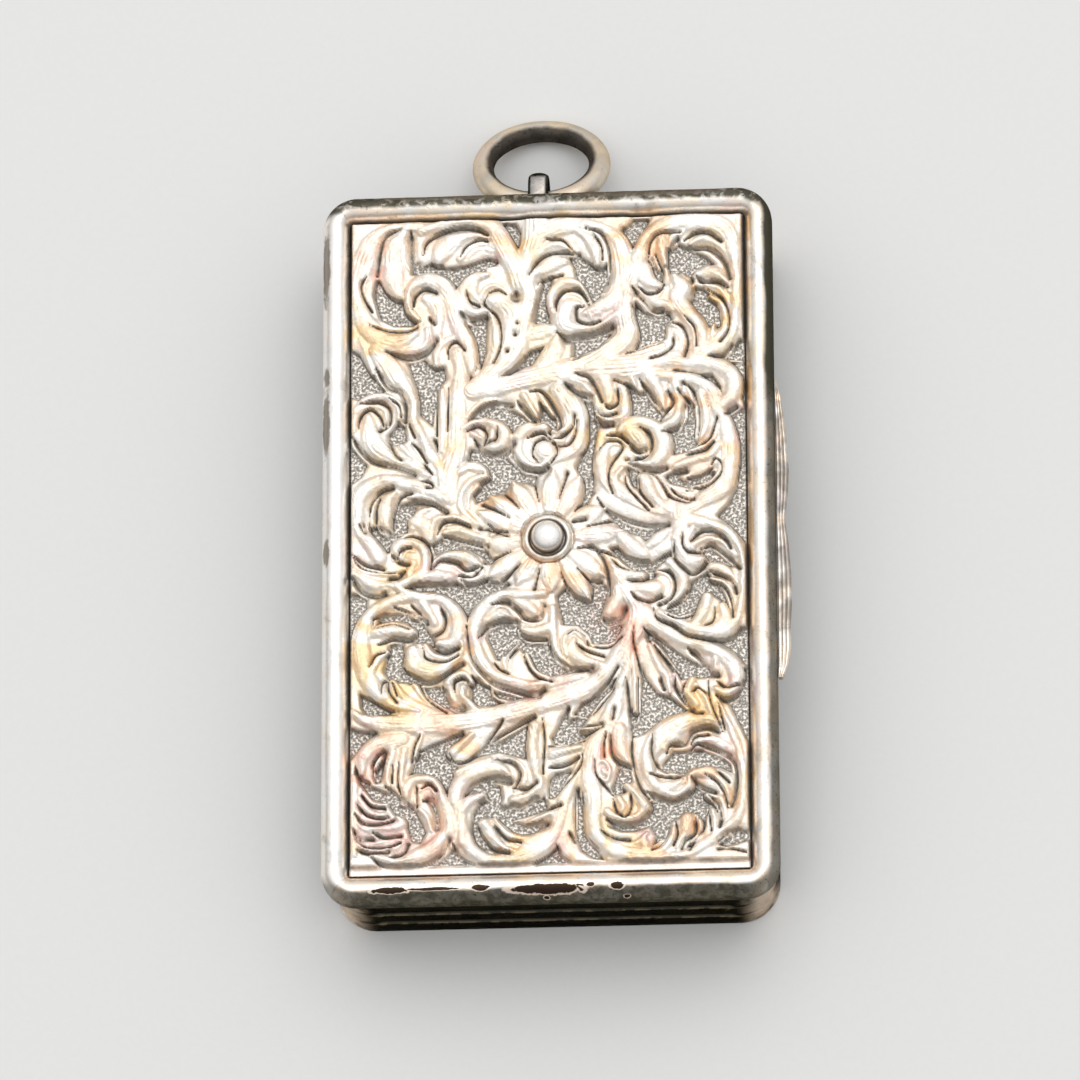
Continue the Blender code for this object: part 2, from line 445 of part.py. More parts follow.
# The wall with its hinge notch; the grooves are plain bars cut along each side
def build_wall(collection, cutters, material):
    bottom = FLOOR_THICKNESS + SEAM
    profile = ((0, bottom), (0, CASE_HEIGHT), (WALL_THICKNESS, CASE_HEIGHT), (WALL_THICKNESS, bottom))
    wall = band("case_wall", CASE_WIDTH / 2, CASE_LENGTH / 2, CASE_CORNER, profile)
    place(collection, wall, material, smooth=False)
    straight_width = CASE_WIDTH - 2 * CASE_CORNER
    straight_length = CASE_LENGTH - 2 * CASE_CORNER
    sides = ((CASE_LENGTH / 2, straight_width), (CASE_WIDTH / 2, straight_length))
    for height in REED_GROOVE_HEIGHTS:
        for quarter in range(4):
            distance, length = sides[quarter % 2]
            cut_groove(wall, cutters, distance, height, length, math.radians(90) * quarter)
    notch_reach = KNUCKLE_RADIUS + HINGE_NOTCH_GAP
    notch_size = (2 * WALL_THICKNESS, HINGE_LENGTH + 2 * KNUCKLE_GAP, CASE_HEIGHT)
    notch_place = (-CASE_WIDTH / 2, 0, HINGE_Z - notch_reach + CASE_HEIGHT / 2)
    cut_box(wall, cutters, "hinge_notch", notch_size, notch_place)


# A pointed bar whose point reaches into the wall; it lies along one side
def cut_groove(wall, cutters, distance, height, length, turn):
    half = REED_GROOVE_WIDTH / 2
    reach = REED_GROOVE_DEPTH
    shape = ((-reach, 0), (0, half), (reach, half), (reach, -half), (0, -half))
    sections = []
    for x in (-length / 2, length / 2):
        sections.append([(x, distance + y, z) for y, z in shape])
    cutter = loft("reed_groove", sections, looped=False)
    cutter.location.z = height
    cutter.rotation_euler.z = turn
    add_cutter(wall, cutters, cutter)


def cut_box(target, cutters, name, size, middle):
    bm = bmesh.new()
    bmesh.ops.create_cube(bm, size=1)
    bmesh.ops.scale(bm, verts=bm.verts, vec=size)
    cutter = mesh_object(name, bm)
    cutter.location = middle
    add_cutter(target, cutters, cutter)


def add_cutter(target, cutters, cutter):
    cutters.objects.link(cutter)
    cutter.hide_render = True
    cutter.display_type = "WIRE"
    cut = target.modifiers.new(cutter.name, "BOOLEAN")
    cut.operation = "DIFFERENCE"
    cut.solver = "EXACT"
    cut.object = cutter


def flange_size():
    inset = WALL_THICKNESS + SEAM
    return CASE_WIDTH / 2 - inset, CASE_LENGTH / 2 - inset, CASE_CORNER - inset


def build_flange(collection, material):
    half_width, half_length, radius = flange_size()
    top = LID_PLATE_BOTTOM - SEAM
    bottom = top - FLANGE_DEPTH
    profile = ((0, bottom), (0, top), (FLANGE_THICKNESS, top), (FLANGE_THICKNESS, bottom))
    place(collection, band("inner_flange", half_width, half_length, radius, profile), material)


def inner_size():
    half_width, half_length, radius = flange_size()
    inset = FLANGE_THICKNESS + SEAM
    return half_width - inset, half_length - inset, radius - inset


def build_ledge(collection, material):
    half_width, half_length, radius = inner_size()
    bottom = LEDGE_TOP - LEDGE_THICKNESS
    profile = ((0, bottom), (0, LEDGE_TOP), (LEDGE_WIDTH, LEDGE_TOP), (LEDGE_WIDTH, bottom))
    place(collection, band("grille_ledge", half_width, half_length, radius, profile), material)


def build_sponge(collection, material):
    half_width, half_length, radius = inner_size()
    half_width = half_width - SPONGE_SLACK
    half_length = half_length - SPONGE_SLACK
    top = LEDGE_TOP - LEDGE_THICKNESS - SPONGE_SLACK
    item = plate("sponge", half_width, half_length, radius, FLOOR_THICKNESS + SEAM, top)
    add_bevel(item, SPONGE_BEVEL, BEVEL_SEGMENTS)
    place(collection, item, material)


# Five short tubes share the hinge line; the second and fourth belong to the lid
def build_hinge(collection, case_material, lid_material):
    pitch = HINGE_LENGTH / KNUCKLE_COUNT
    bore = PIN_RADIUS + PIN_CLEARANCE
    for index in range(KNUCKLE_COUNT):
        on_lid = index % 2 == 1
        name = "lid_knuckle_%d" % (index + 1) if on_lid else "case_knuckle_%d" % (index + 1)
        item = tube(name, KNUCKLE_RADIUS, bore, pitch - KNUCKLE_GAP)
        item.location = (HINGE_X, pitch * (index + 0.5) - HINGE_LENGTH / 2, HINGE_Z)
        place(collection, item, lid_material if on_lid else case_material)
    pin = rod("hinge_pin", PIN_RADIUS, HINGE_LENGTH)
    pin.location = (HINGE_X, 0, HINGE_Z)
    place(collection, pin, case_material)


def grille_hinge_place():
    inner_width = inner_size()[0]
    x = GRILLE_KNUCKLE_RADIUS + GRILLE_KNUCKLE_INSET - inner_width
    return x, 0, GRILLE_BOTTOM + GRILLE_KNUCKLE_RADIUS


def build_grille_hinge(collection, material):
    bore = GRILLE_PIN_RADIUS + PIN_CLEARANCE
    x, _, z = grille_hinge_place()
    reach = GRILLE_CENTRE_KNUCKLE / 2 + KNUCKLE_GAP + GRILLE_END_KNUCKLE / 2
    knuckles = (
        ("grille_knuckle", GRILLE_CENTRE_KNUCKLE, 0),
        ("grille_end_knuckle_front", GRILLE_END_KNUCKLE, -reach),
        ("grille_end_knuckle_back", GRILLE_END_KNUCKLE, reach),
    )
    for name, length, y in knuckles:
        item = tube(name, GRILLE_KNUCKLE_RADIUS, bore, length)
        item.location = (x, y, z)
        place(collection, item, material)
    pin = rod("grille_pin", GRILLE_PIN_RADIUS, 2 * reach + GRILLE_END_KNUCKLE)
    pin.location = (x, 0, z)
    place(collection, pin, material)


def slot_outline(x, y, length, breadth, turn):
    points = []
    for step in range(SLOT_STEPS):
        angle = math.tau * step / SLOT_STEPS
        along = length / 2 * math.cos(angle)
        aside = breadth * math.sin(angle) * (1 + SLOT_TAPER_SHARE * math.cos(angle)) / 2
        c, s = math.cos(turn), math.sin(turn)
        points.append((x + along * c - aside * s, y + along * s + aside * c))
    return points


def rosette_slots(x, y, radius, count, twist, room):
    length = SLOT_LENGTH_SHARE * room
    breadth = SLOT_BREADTH_SHARE * room
    holes = []
    for index in range(count):
        angle = math.tau * index / count
        place_x = x + radius * math.cos(angle)
        place_y = y + radius * math.sin(angle)
        holes.append(slot_outline(place_x, place_y, length, breadth, angle + twist))
    return holes


def grille_holes(half_width, half_length):
    room = min(ROSETTE_ROOM_SHARES[0] * half_width, ROSETTE_ROOM_SHARES[1] * half_length)
    hole = 2 * ROUND_HOLE_RADIUS
    holes = rosette_slots(0, 0, CENTRE_RADIUS_SHARE * room, CENTRE_SLOTS, 0, room)
    places = set()
    for side_x in (-1, 1):
        for side_y in (-1, 1):
            twist = side_x * side_y * ROSETTE_TWIST
            for across, along in ROSETTE_SHARES:
                x = side_x * across * half_width
                y = side_y * along * half_length
                holes += rosette_slots(x, y, ROSETTE_RADIUS_SHARE * room, ROSETTE_SLOTS, twist, room)
                holes.append(slot_outline(x, y, hole, hole, 0))
            for across, along in ROUND_HOLE_SHARES:
                places.add((side_x * across + 0.0, side_y * along + 0.0))
    for across, along in sorted(places):
        holes.append(slot_outline(across * half_width, along * half_length, hole, hole, 0))
    return holes


# The grille is one sheet with its holes, drawn flat and given its thickness
def build_grille(collection, material):
    inner_width, inner_length, _ = inner_size()
    hinge_x = grille_hinge_place()[0]
    hinge_gap = GRILLE_KNUCKLE_RADIUS + KNUCKLE_GAP
    left = hinge_x + hinge_gap
    right = inner_width - GRILLE_SLACK
    half_width = (right - left) / 2
    half_length = inner_length - GRILLE_SLACK
    curve = bpy.data.curves.new("grille", "CURVE")
    curve.dimensions = "2D"
    curve.fill_mode = "BOTH"
    curve.extrude = GRILLE_THICKNESS / 2
    outlines = [rounded_outline(half_width, half_length, GRILLE_CORNER)]
    outlines += grille_holes(half_width, half_length)
    for outline in outlines:
        spline = curve.splines.new("POLY")
        spline.points.add(len(outline) - 1)
        for point, (x, y) in zip(spline.points, outline):
            point.co = (x + half_width + hinge_gap, y, 0, 1)
        spline.use_cyclic_u = True
    item = bpy.data.objects.new("grille", curve)
    item.location = (hinge_x, 0, GRILLE_BOTTOM + GRILLE_THICKNESS / 2)
    place(collection, item, material)


def rim_inner_size():
    return LID_WIDTH / 2 - RIM_WIDTH, LID_LENGTH / 2 - RIM_WIDTH


# Cross-section of the rim: inset from the lid's outer edge, and height
def rim_profile():
    middle = RIM_WIDTH / 2
    shoulder = LID_BOTTOM + RIM_SHOULDER
    rise = LID_TOP - shoulder
    inner_foot = PANEL_BOTTOM
    points = [(RIM_EDGE, LID_BOTTOM), (0, LID_BOTTOM + RIM_EDGE)]
    for degrees in RIM_ARC_DEGREES:
        angle = math.radians(degrees)
        points.append((middle + middle * math.cos(angle), shoulder + rise * math.sin(angle)))
    points += [(RIM_WIDTH, inner_foot), (RIM_LEG, inner_foot), (RIM_LEG, LID_BOTTOM)]
    return points


# One mitred length of rim, from the middle of one corner to the middle of the next
def build_rim_length(collection, material, name, first_quarter):
    sections = []
    shift = SEAM / 2
    along_x = first_quarter % 2 == 0
    for quarter, start, end in ((first_quarter, 45, 90), ((first_quarter + 1) % 4, 0, 45)):
        for step in range(CORNER_STEPS // 2 + 1):
            share = step / (CORNER_STEPS // 2)
            angle = math.radians(90 * quarter + start + (end - start) * share)
            section = []
            for inset, z in rim_profile():
                radius = LID_CORNER - (LID_CORNER - RIM_INNER_CORNER) * inset / RIM_WIDTH
                half_width = LID_WIDTH / 2 - inset - (shift if along_x else 0)
                half_length = LID_LENGTH / 2 - inset - (0 if along_x else shift)
                x, y = corner_point(half_width, half_length, radius, quarter, angle)
                section.append((x, y, z))
            sections.append(section)
    place(collection, loft(name, sections, looped=False), material)


def build_lid_plate(collection, material):
    inset = RIM_LEG + SEAM
    half_width = LID_WIDTH / 2 - inset
    half_length = LID_LENGTH / 2 - inset
    item = plate("lid_plate", half_width, half_length, LID_CORNER - inset, LID_PLATE_BOTTOM, LID_PLATE_TOP)
    place(collection, item, material)


# Distance from each place to a straight line, and how far along the line its nearest point lies
def distance_to_line(across, down, start, end):
    run, fall = end[0] - start[0], end[1] - start[1]
    along = np.clip(((across - start[0]) * run + (down - start[1]) * fall) / (run ** 2 + fall ** 2), 0, 1)
    return np.hypot(across - start[0] - along * run, down - start[1] - along * fall), along


# Distance from each place to the nearest hollow's edge, negative inside a hollow
def hollow_distance(across, down):
    nearest = np.full(across.shape, float(SQUARES_DOWN))
    for outline in HOLLOW_SHARES:
        edge = np.full(across.shape, float(SQUARES_DOWN))
        inside = np.zeros(across.shape, bool)
        for start, end in zip(outline, outline[1:] + outline[:1]):
            edge = np.minimum(edge, distance_to_line(across, down, start, end)[0])
            if start[1] != end[1]:
                crossing = start[0] + (down - start[1]) * (end[0] - start[0]) / (end[1] - start[1])
                inside ^= ((start[1] > down) != (end[1] > down)) & (across < crossing)
        nearest = np.minimum(nearest, np.where(inside, -edge, edge))
    return nearest


# Height of one petal at each place: full at its middle, none at its edge
def petal_height(across, down, points):
    best = np.zeros(across.shape)
    for start, end in zip(points, points[1:]):
        distance, along = distance_to_line(across, down, start, end)
        half = (start[2] + (end[2] - start[2]) * along) * PETAL_SPREAD_SHARE
        inside = np.clip(1 - distance / half, 0, 1)
        best = np.maximum(best, PETAL_HEIGHT_SHARE * np.sin(math.radians(90) * inside))
    return best


def relief_height(across, down):
    rise = hollow_distance(across, down) / HOLLOW_SLOPE_SHARE + 1 / 2
    height = LEAF_HEIGHT_SHARE * np.clip(rise, 0, 1)
    middle_x, middle_y = FLOWER_CENTRE_SHARES
    for index in range(PETAL_COUNT):
        angle = math.tau * (index + 0.5) / PETAL_COUNT
        points = []
        for reach, breadth in PETAL_SHARES:
            points.append((middle_x + reach * math.cos(angle), middle_y + reach * math.sin(angle), breadth))
        height = np.maximum(height, petal_height(across, down, points))
    return height


# The panel is a fine grid raised between the hollows, with straight sides and a flat back
def build_panel(collection, material):
    half_width, half_length = rim_inner_size()
    half_width = half_width - SEAM
    half_length = half_length - SEAM
    columns = SQUARES_ACROSS * CELLS_PER_SQUARE
    rows = SQUARES_DOWN * CELLS_PER_SQUARE
    places_across = np.linspace(0, SQUARES_ACROSS, columns + 1)
    places_down = np.linspace(0, SQUARES_DOWN, rows + 1)
    across, down = np.meshgrid(places_across, places_down)
    z = PANEL_GROUND + RELIEF_HEIGHT * relief_height(across, down)
    middle_x, middle_y = FLOWER_CENTRE_SHARES
    square = 2 * half_width / SQUARES_ACROSS
    from_flower = np.hypot(across - middle_x, down - middle_y) * square
    pad_radius = COLLAR_RADIUS + math.sqrt(2) * square / CELLS_PER_SQUARE
    z = np.where(from_flower < pad_radius, PANEL_PAD, z)
    bm = bmesh.new()
    grid = []
    for row in range(rows + 1):
        y = half_length - 2 * half_length * row / rows
        line = []
        for column in range(columns + 1):
            x = 2 * half_width * column / columns - half_width
            line.append(bm.verts.new((x, y, float(z[row, column]))))
        grid.append(line)
    for row in range(rows):
        for column in range(columns):
            a, b = grid[row][column], grid[row][column + 1]
            c, d = grid[row + 1][column + 1], grid[row + 1][column]
            bm.faces.new((a, d, c, b))
    edge = grid[0] + [line[-1] for line in grid[1:]]
    edge += list(reversed(grid[-1][:-1])) + [line[0] for line in reversed(grid[1:-1])]
    foot = [bm.verts.new((vert.co.x, vert.co.y, PANEL_BOTTOM)) for vert in edge]
    for index in range(len(edge)):
        after = (index + 1) % len(edge)
        bm.faces.new((edge[index], edge[after], foot[after], foot[index]))
    bm.faces.new(foot)
    place(collection, mesh_object("lid_panel", bm), material)


def flower_place():
    half_width, half_length = rim_inner_size()
    across, down = FLOWER_CENTRE_SHARES
    x = 2 * half_width * across / SQUARES_ACROSS - half_width
    y = half_length - 2 * half_length * down / SQUARES_DOWN
    return x, y


# A turned body from radius and height pairs that run from its top to its bottom
def turned(name, profile):
    mesh = bpy.data.meshes.new(name)
    points = [(radius, 0, z) for radius, z in profile]
    edges = [(index, index + 1) for index in range(len(points) - 1)]
    mesh.from_pydata(points, edges, [])
    item = bpy.data.objects.new(name, mesh)
    screw = item.modifiers.new("turn", "SCREW")
    screw.steps = TUBE_STEPS
    screw.render_steps = TUBE_STEPS
    screw.use_merge_vertices = True
    screw.merge_threshold = MERGE_DISTANCE
    return item


def build_stud(collection, material):
    bottom = PANEL_PAD + SEAM
    profile = [(0, STUD_NECK + STUD_DOME)]
    for degrees in STUD_DOME_DEGREES:
        angle = math.radians(degrees)
        profile.append((STUD_RADIUS * math.cos(angle), STUD_NECK + STUD_DOME * math.sin(angle)))
    profile += [(STUD_RADIUS, 0), (0, 0)]
    item = turned("flower_stud", profile)
    item.location = (*flower_place(), bottom)
    place(collection, item, material)


def build_collar(collection, material):
    bottom = PANEL_PAD + SEAM
    inner = STUD_RADIUS + SEAM
    sections = []
    for step in range(TUBE_STEPS):
        angle = math.tau * step / TUBE_STEPS
        section = []
        for across, height in COLLAR_SECTION_SHARES:
            radius = inner + across * (COLLAR_RADIUS - inner)
            section.append((radius * math.cos(angle), radius * math.sin(angle), height * COLLAR_HEIGHT))
        sections.append(section)
    item = loft("flower_collar", sections, looped=True)
    item.location = (*flower_place(), bottom)
    place(collection, item, material)


def build_thumbpiece(collection, material):
    start = LID_WIDTH / 2 + SEAM
    sections = []
    bottom = LID_BOTTOM + THUMB_RAISE
    for z in (bottom, bottom + THUMB_THICKNESS):
        section = []
        for along, reach in THUMB_EDGE_SHARES:
            section.append((start + reach * THUMB_REACH, THUMB_MIDDLE_Y + along * THUMB_LENGTH, z))
        sections.append(section)
    item = loft("thumbpiece", sections, looped=False)
    add_bevel(item, THUMB_BEVEL, 1)
    place(collection, item, material)


# The lug is a half-round strip bent to a loop that stands out from the end wall
def build_lug(collection, material):
    start_y = CASE_LENGTH / 2 + SEAM
    bend_y = CASE_LENGTH / 2 + LUG_REACH
    path = [(start_y, LUG_Z + LUG_INNER_RADIUS, 0, 1)]
    for step in range(LUG_STEPS + 1):
        angle = math.radians(90 - 180 * step / LUG_STEPS)
        y = bend_y + LUG_INNER_RADIUS * math.cos(angle)
        z = LUG_Z + LUG_INNER_RADIUS * math.sin(angle)
        path.append((y, z, math.cos(angle), math.sin(angle)))
    path.append((start_y, LUG_Z - LUG_INNER_RADIUS, 0, -1))
    half = LUG_WIDTH / 2
    sections = []
    for y, z, out_y, out_z in path:
        section = []
        for across, rise in LUG_SECTION_SHARES:
            out = rise * LUG_THICKNESS
            section.append((LUG_X + across * half, y + out * out_y, z + out * out_z))
        sections.append(section)
    place(collection, loft("ring_lug", sections, looped=False), material)


# The ring's origin is the point where it passes through the lug; its far side lies on the surface
def build_ring(collection, material):
    mean_radius = RING_OUTER_RADIUS - RING_WIRE_RADIUS
    sections = []
    for step in range(RING_STEPS):
        turn = math.tau * step / RING_STEPS
        section = []
        for wire_step in range(WIRE_STEPS):
            angle = math.tau * wire_step / WIRE_STEPS
            radius = mean_radius + RING_WIRE_RADIUS * math.cos(angle)
            x = radius * math.sin(turn)
            y = mean_radius - radius * math.cos(turn)
            section.append((x, y, RING_WIRE_RADIUS * math.sin(angle)))
        sections.append(section)
    item = loft("suspension_ring", sections, looped=True)
    pivot_z = LUG_Z - RING_SAG
    drop = pivot_z - RING_WIRE_RADIUS - RING_REST_GAP
    item.location = (LUG_X, CASE_LENGTH / 2 + RING_WALL_GAP + RING_WIRE_RADIUS, pivot_z)
    item.rotation_euler.x = -math.asin(drop / (2 * mean_radius))
    place(collection, item, material)


# The pieces that turn together hang from one empty on their hinge line
def hang_on_axis(collection, name, axis_place, pieces):
    axis = bpy.data.objects.new(name, None)
    axis.location = axis_place
    axis.empty_display_size = HINGE_LENGTH / 2
    collection.objects.link(axis)
    for piece in pieces:
        item = collection.objects[piece]
        item.parent = axis
        item.matrix_parent_inverse = Matrix.Translation(axis_place).inverted()


def new_collection(name):
    collection = bpy.data.collections.new(name)
    bpy.context.scene.collection.children.link(collection)
    return collection


def build():
    clear_objects()
    box = new_collection("vinaigrette_box")
    cutters = new_collection("cutters")
    bright, dark, gold, brown = bright_silver(), dark_silver(), gilt(), sponge_brown()
    build_floor(box, dark)
    build_wall(box, cutters, dark)
    build_flange(box, gold)
    build_ledge(box, gold)
    build_sponge(box, brown)
    build_hinge(box, dark, bright)
    build_grille_hinge(box, gold)
    build_grille(box, gold)
    build_lid_plate(box, gold)
    for name, quarter in (("lid_rim_back", 0), ("lid_rim_left", 1), ("lid_rim_front", 2), ("lid_rim_right", 3)):
        build_rim_length(box, bright, name, quarter)
    build_panel(box, bright)
    build_stud(box, bright)
    build_collar(box, bright)
    build_thumbpiece(box, bright)
    build_lug(box, dark)
    build_ring(box, bright)
    lid_pieces = [item.name for item in box.objects if item.name.startswith("lid_")]
    lid_pieces += ["flower_stud", "flower_collar", "thumbpiece"]
    hang_on_axis(box, "lid_axis", (HINGE_X, 0, HINGE_Z), lid_pieces)
    hang_on_axis(box, "grille_axis", grille_hinge_place(), ["grille", "grille_knuckle"])


build()
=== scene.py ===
# Looks of a silver vinaigrette box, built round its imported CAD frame
# Z points up from the surface it lies on, Y towards the ring and X towards the thumbpiece.
import math

import bmesh
import bpy
import numpy as np
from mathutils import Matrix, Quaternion, Vector, noise


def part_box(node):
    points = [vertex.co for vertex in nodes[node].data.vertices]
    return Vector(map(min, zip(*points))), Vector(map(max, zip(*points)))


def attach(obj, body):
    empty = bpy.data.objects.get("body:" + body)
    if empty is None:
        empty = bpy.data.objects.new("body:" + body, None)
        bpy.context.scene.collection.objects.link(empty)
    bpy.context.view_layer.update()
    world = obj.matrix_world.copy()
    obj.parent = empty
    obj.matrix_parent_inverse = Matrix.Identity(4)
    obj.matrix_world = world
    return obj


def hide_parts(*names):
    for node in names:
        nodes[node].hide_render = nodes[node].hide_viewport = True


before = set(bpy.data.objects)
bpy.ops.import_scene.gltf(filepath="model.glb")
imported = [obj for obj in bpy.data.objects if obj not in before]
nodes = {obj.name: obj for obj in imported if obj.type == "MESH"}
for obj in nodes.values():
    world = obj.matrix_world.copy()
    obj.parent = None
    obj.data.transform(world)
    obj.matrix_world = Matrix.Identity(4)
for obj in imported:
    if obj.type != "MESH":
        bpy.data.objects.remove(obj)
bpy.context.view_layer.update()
MM = 0.001

# Case body
# The wall is one strip of thin silver, rolled with two grooves along each side and bent
# round plain corners. A flat floor is soldered under it. Both have tarnished dark. The wall
# is painted darker still as shade, with painted highlights on its corners and under its grooves.
wall_low, wall_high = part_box("case_wall")
floor_low, floor_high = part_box("case_floor")
CASE_CORNER = 2.3 * MM
WALL_THICKNESS = 0.7 * MM
GROOVE_HEIGHTS = (2.0 * MM, 3.9 * MM)
GROOVE_DEPTH = 0.2 * MM
GROOVE_HALF_WIDTH = 0.3 * MM
GROOVE_RUNOUT = 0.5 * MM
WALL_EDGE = 0.08 * MM
NOTCH_HALF_LENGTH = 12.08 * MM
NOTCH_BOTTOM = 5.41 * MM
FLOOR_EDGE = 0.2 * MM
FLOOR_EDGE_BEND = 0.06 * MM
GROOVE_STEPS = 6
GROOVE_FULLNESS = 0.7
CORNER_STEPS = 14
SIDE_STEPS = 48
DENT_SIZE = 3.0 * MM
WALL_DENT = 0.04 * MM
GROOVE_LINE_DROP = 0.36 * MM
GROOVE_LINE_HALF = 0.14 * MM
GROOVE_LINE_CORE = 0.03 * MM
GRIME_HALF = 0.26 * MM
GRIME_CORE = 0.08 * MM
PLAIN_CORNER_START = 1.1 * CASE_CORNER
PLAIN_CORNER_FULL = 0.4 * CASE_CORNER
SHARP_ANGLE = math.radians(50)
# Dark tarnish of the wall, painted darker still as shade
SHADED_DARK_SILVER = (0.064, 0.061, 0.046)
# Painted highlight under the grooves
GROOVE_HIGHLIGHT_GOLD = (0.25, 0.21, 0.14)
# Painted highlight on the wall's plain corners
CORNER_HIGHLIGHT_ROSE = (0.88, 0.76, 0.64)
# Tarnish, also used as painted shade on the lug's edges and bend
BLACK_TARNISH_AND_SHADE = (0.027, 0.025, 0.02)
RUBBED_SILVER = (0.62, 0.56, 0.47)
COPPER_GOLD = (0.98, 0.73, 0.52)
YELLOW_GOLD = (0.97, 0.74, 0.43)
PINK_GOLD = (0.96, 0.74, 0.68)


def add_node(tree, kind, inputs=None, **settings):
    item = tree.nodes.new("ShaderNode" + kind)
    for name, value in settings.items():
        setattr(item, name, value)
    for name, value in (inputs or {}).items():
        if isinstance(value, bpy.types.NodeSocket):
            tree.links.new(value, item.inputs[name])
        else:
            item.inputs[name].default_value = value
    return item


def rgba(colour):
    return (*colour, 1.0)


# Blends two colours or colour outputs
def mix_colours(tree, factor, first, second, blend="MIX"):
    item = add_node(tree, "Mix", data_type="RGBA", blend_type=blend)
    for index, value in ((0, factor), (6, first), (7, second)):
        if isinstance(value, bpy.types.NodeSocket):
            tree.links.new(value, item.inputs[index])
        elif index == 0:
            item.inputs[index].default_value = value
        else:
            item.inputs[index].default_value = rgba(value)
    return item.outputs[2]


def calculate(tree, operation, first, second=0.0, clamp=False):
    return add_node(tree, "Math", {0: first, 1: second}, operation=operation, use_clamp=clamp).outputs[0]


def plus(tree, first, second, clamp=False):
    return calculate(tree, "ADD", first, second, clamp)


def minus(tree, first, second):
    return calculate(tree, "SUBTRACT", first, second)


def times(tree, first, second):
    return calculate(tree, "MULTIPLY", first, second)


def larger(tree, first, second):
    return calculate(tree, "MAXIMUM", first, second)


# A smooth step: 0 below low, 1 above high, or the other way round
def fade(tree, value, low, high, to_low=0.0, to_high=1.0):
    inputs = {"Value": value, "From Min": low, "From Max": high, "To Min": to_low, "To Max": to_high}
    return add_node(tree, "MapRange", inputs, interpolation_type="SMOOTHSTEP").outputs[0]


# Clouds of about the given size, near 0.5 all over, which a fade between two levels cuts into patches
def grain(tree, place, size, detail=3.0, distortion=0.0):
    inputs = {"Vector": place, "Scale": 1 / size, "Detail": detail, "Distortion": distortion}
    return add_node(tree, "TexNoise", inputs).outputs["Fac"]


# Place on the piece, which keeps the texture still when the piece moves
def object_place(tree):
    return add_node(tree, "TexCoord").outputs["Object"]


def split(tree, vector):
    return add_node(tree, "SeparateXYZ", {0: vector}).outputs


def attribute(tree, name):
    return add_node(tree, "Attribute", attribute_name=name).outputs["Fac"]


# Group of nodes with named sockets; each socket is its name, its type and its first value
def new_group(name, inputs, outputs):
    tree = bpy.data.node_groups.new(name, "ShaderNodeTree")
    for label, kind, value in inputs:
        socket = tree.interface.new_socket(label, in_out="INPUT", socket_type="NodeSocket" + kind)
        socket.default_value = value
    for label, kind in outputs:
        tree.interface.new_socket(label, in_out="OUTPUT", socket_type="NodeSocket" + kind)
    return tree


# Old silver: clean metal with warm tints, dirt and painted shade where the mask says, and fine pits
def make_aged_silver():
    inputs = (
        ("Clean", "Color", rgba(RUBBED_SILVER)),
        ("Dirt Colour", "Color", rgba(BLACK_TARNISH_AND_SHADE)),
        ("Dirt", "Float", 0.0),
        ("Tint", "Float", 0.0),
        ("Speckle", "Float", 0.3),
        ("Polish", "Float", 0.2),
    )
    outputs = (("Colour", "Color"), ("Roughness", "Float"), ("Height", "Float"))
    tree = new_group("aged_silver", inputs, outputs)
    given = tree.nodes.new("NodeGroupInput").outputs
    place = object_place(tree)
    hue = grain(tree, place, size=5.5 * MM, detail=2.0)
    gold = mix_colours(tree, fade(tree, hue, 0.38, 0.62), COPPER_GOLD, YELLOW_GOLD)
    gold = mix_colours(tree, fade(tree, grain(tree, place, size=3.1 * MM), 0.56, 0.66), gold, PINK_GOLD)
    patches = fade(tree, grain(tree, place, size=1.7 * MM, detail=5.0, distortion=0.6), 0.40, 0.58)
    clean = mix_colours(tree, times(tree, patches, given["Tint"]), given["Clean"], gold)
    cloud = fade(tree, grain(tree, place, size=1.1 * MM, detail=5.0), 0.35, 0.75)
    speckle = fade(tree, grain(tree, place, size=0.16 * MM, detail=2.0), 0.60, 0.74)
    speckle = times(tree, speckle, given["Speckle"])
    film = times(tree, times(tree, cloud, 0.35), given["Speckle"])
    dirt_and_shade = plus(tree, given["Dirt"], plus(tree, speckle, film), clamp=True)
    colour = mix_colours(tree, dirt_and_shade, clean, given["Dirt Colour"])
    scuffs = grain(tree, place, size=0.35 * MM, detail=4.0)
    rough = plus(tree, given["Polish"], times(tree, scuffs, 0.16))
    rough = plus(tree, rough, times(tree, dirt_and_shade, 0.3), clamp=True)
    pores = times(tree, grain(tree, place, size=0.12 * MM, detail=3.0), 0.5)
    height = plus(tree, scuffs, pores)
    height = minus(tree, height, times(tree, speckle, 0.6))
    result = tree.nodes.new("NodeGroupOutput")
    for label, value in (("Colour", colour), ("Roughness", rough), ("Height", height)):
        tree.links.new(value, result.inputs[label])
    return tree


aged_silver = make_aged_silver()


def start_material(name, metallic=1.0):
    material = bpy.data.materials.new(name)
    material.use_nodes = True
    tree = material.node_tree
    shader = tree.nodes["Principled BSDF"]
    shader.inputs["Metallic"].default_value = metallic
    return material, tree, shader


def add_bump(tree, shader, height, depth):
    bump = add_node(tree, "Bump", {"Height": height, "Distance": depth})
    tree.links.new(bump.outputs["Normal"], shader.inputs["Normal"])


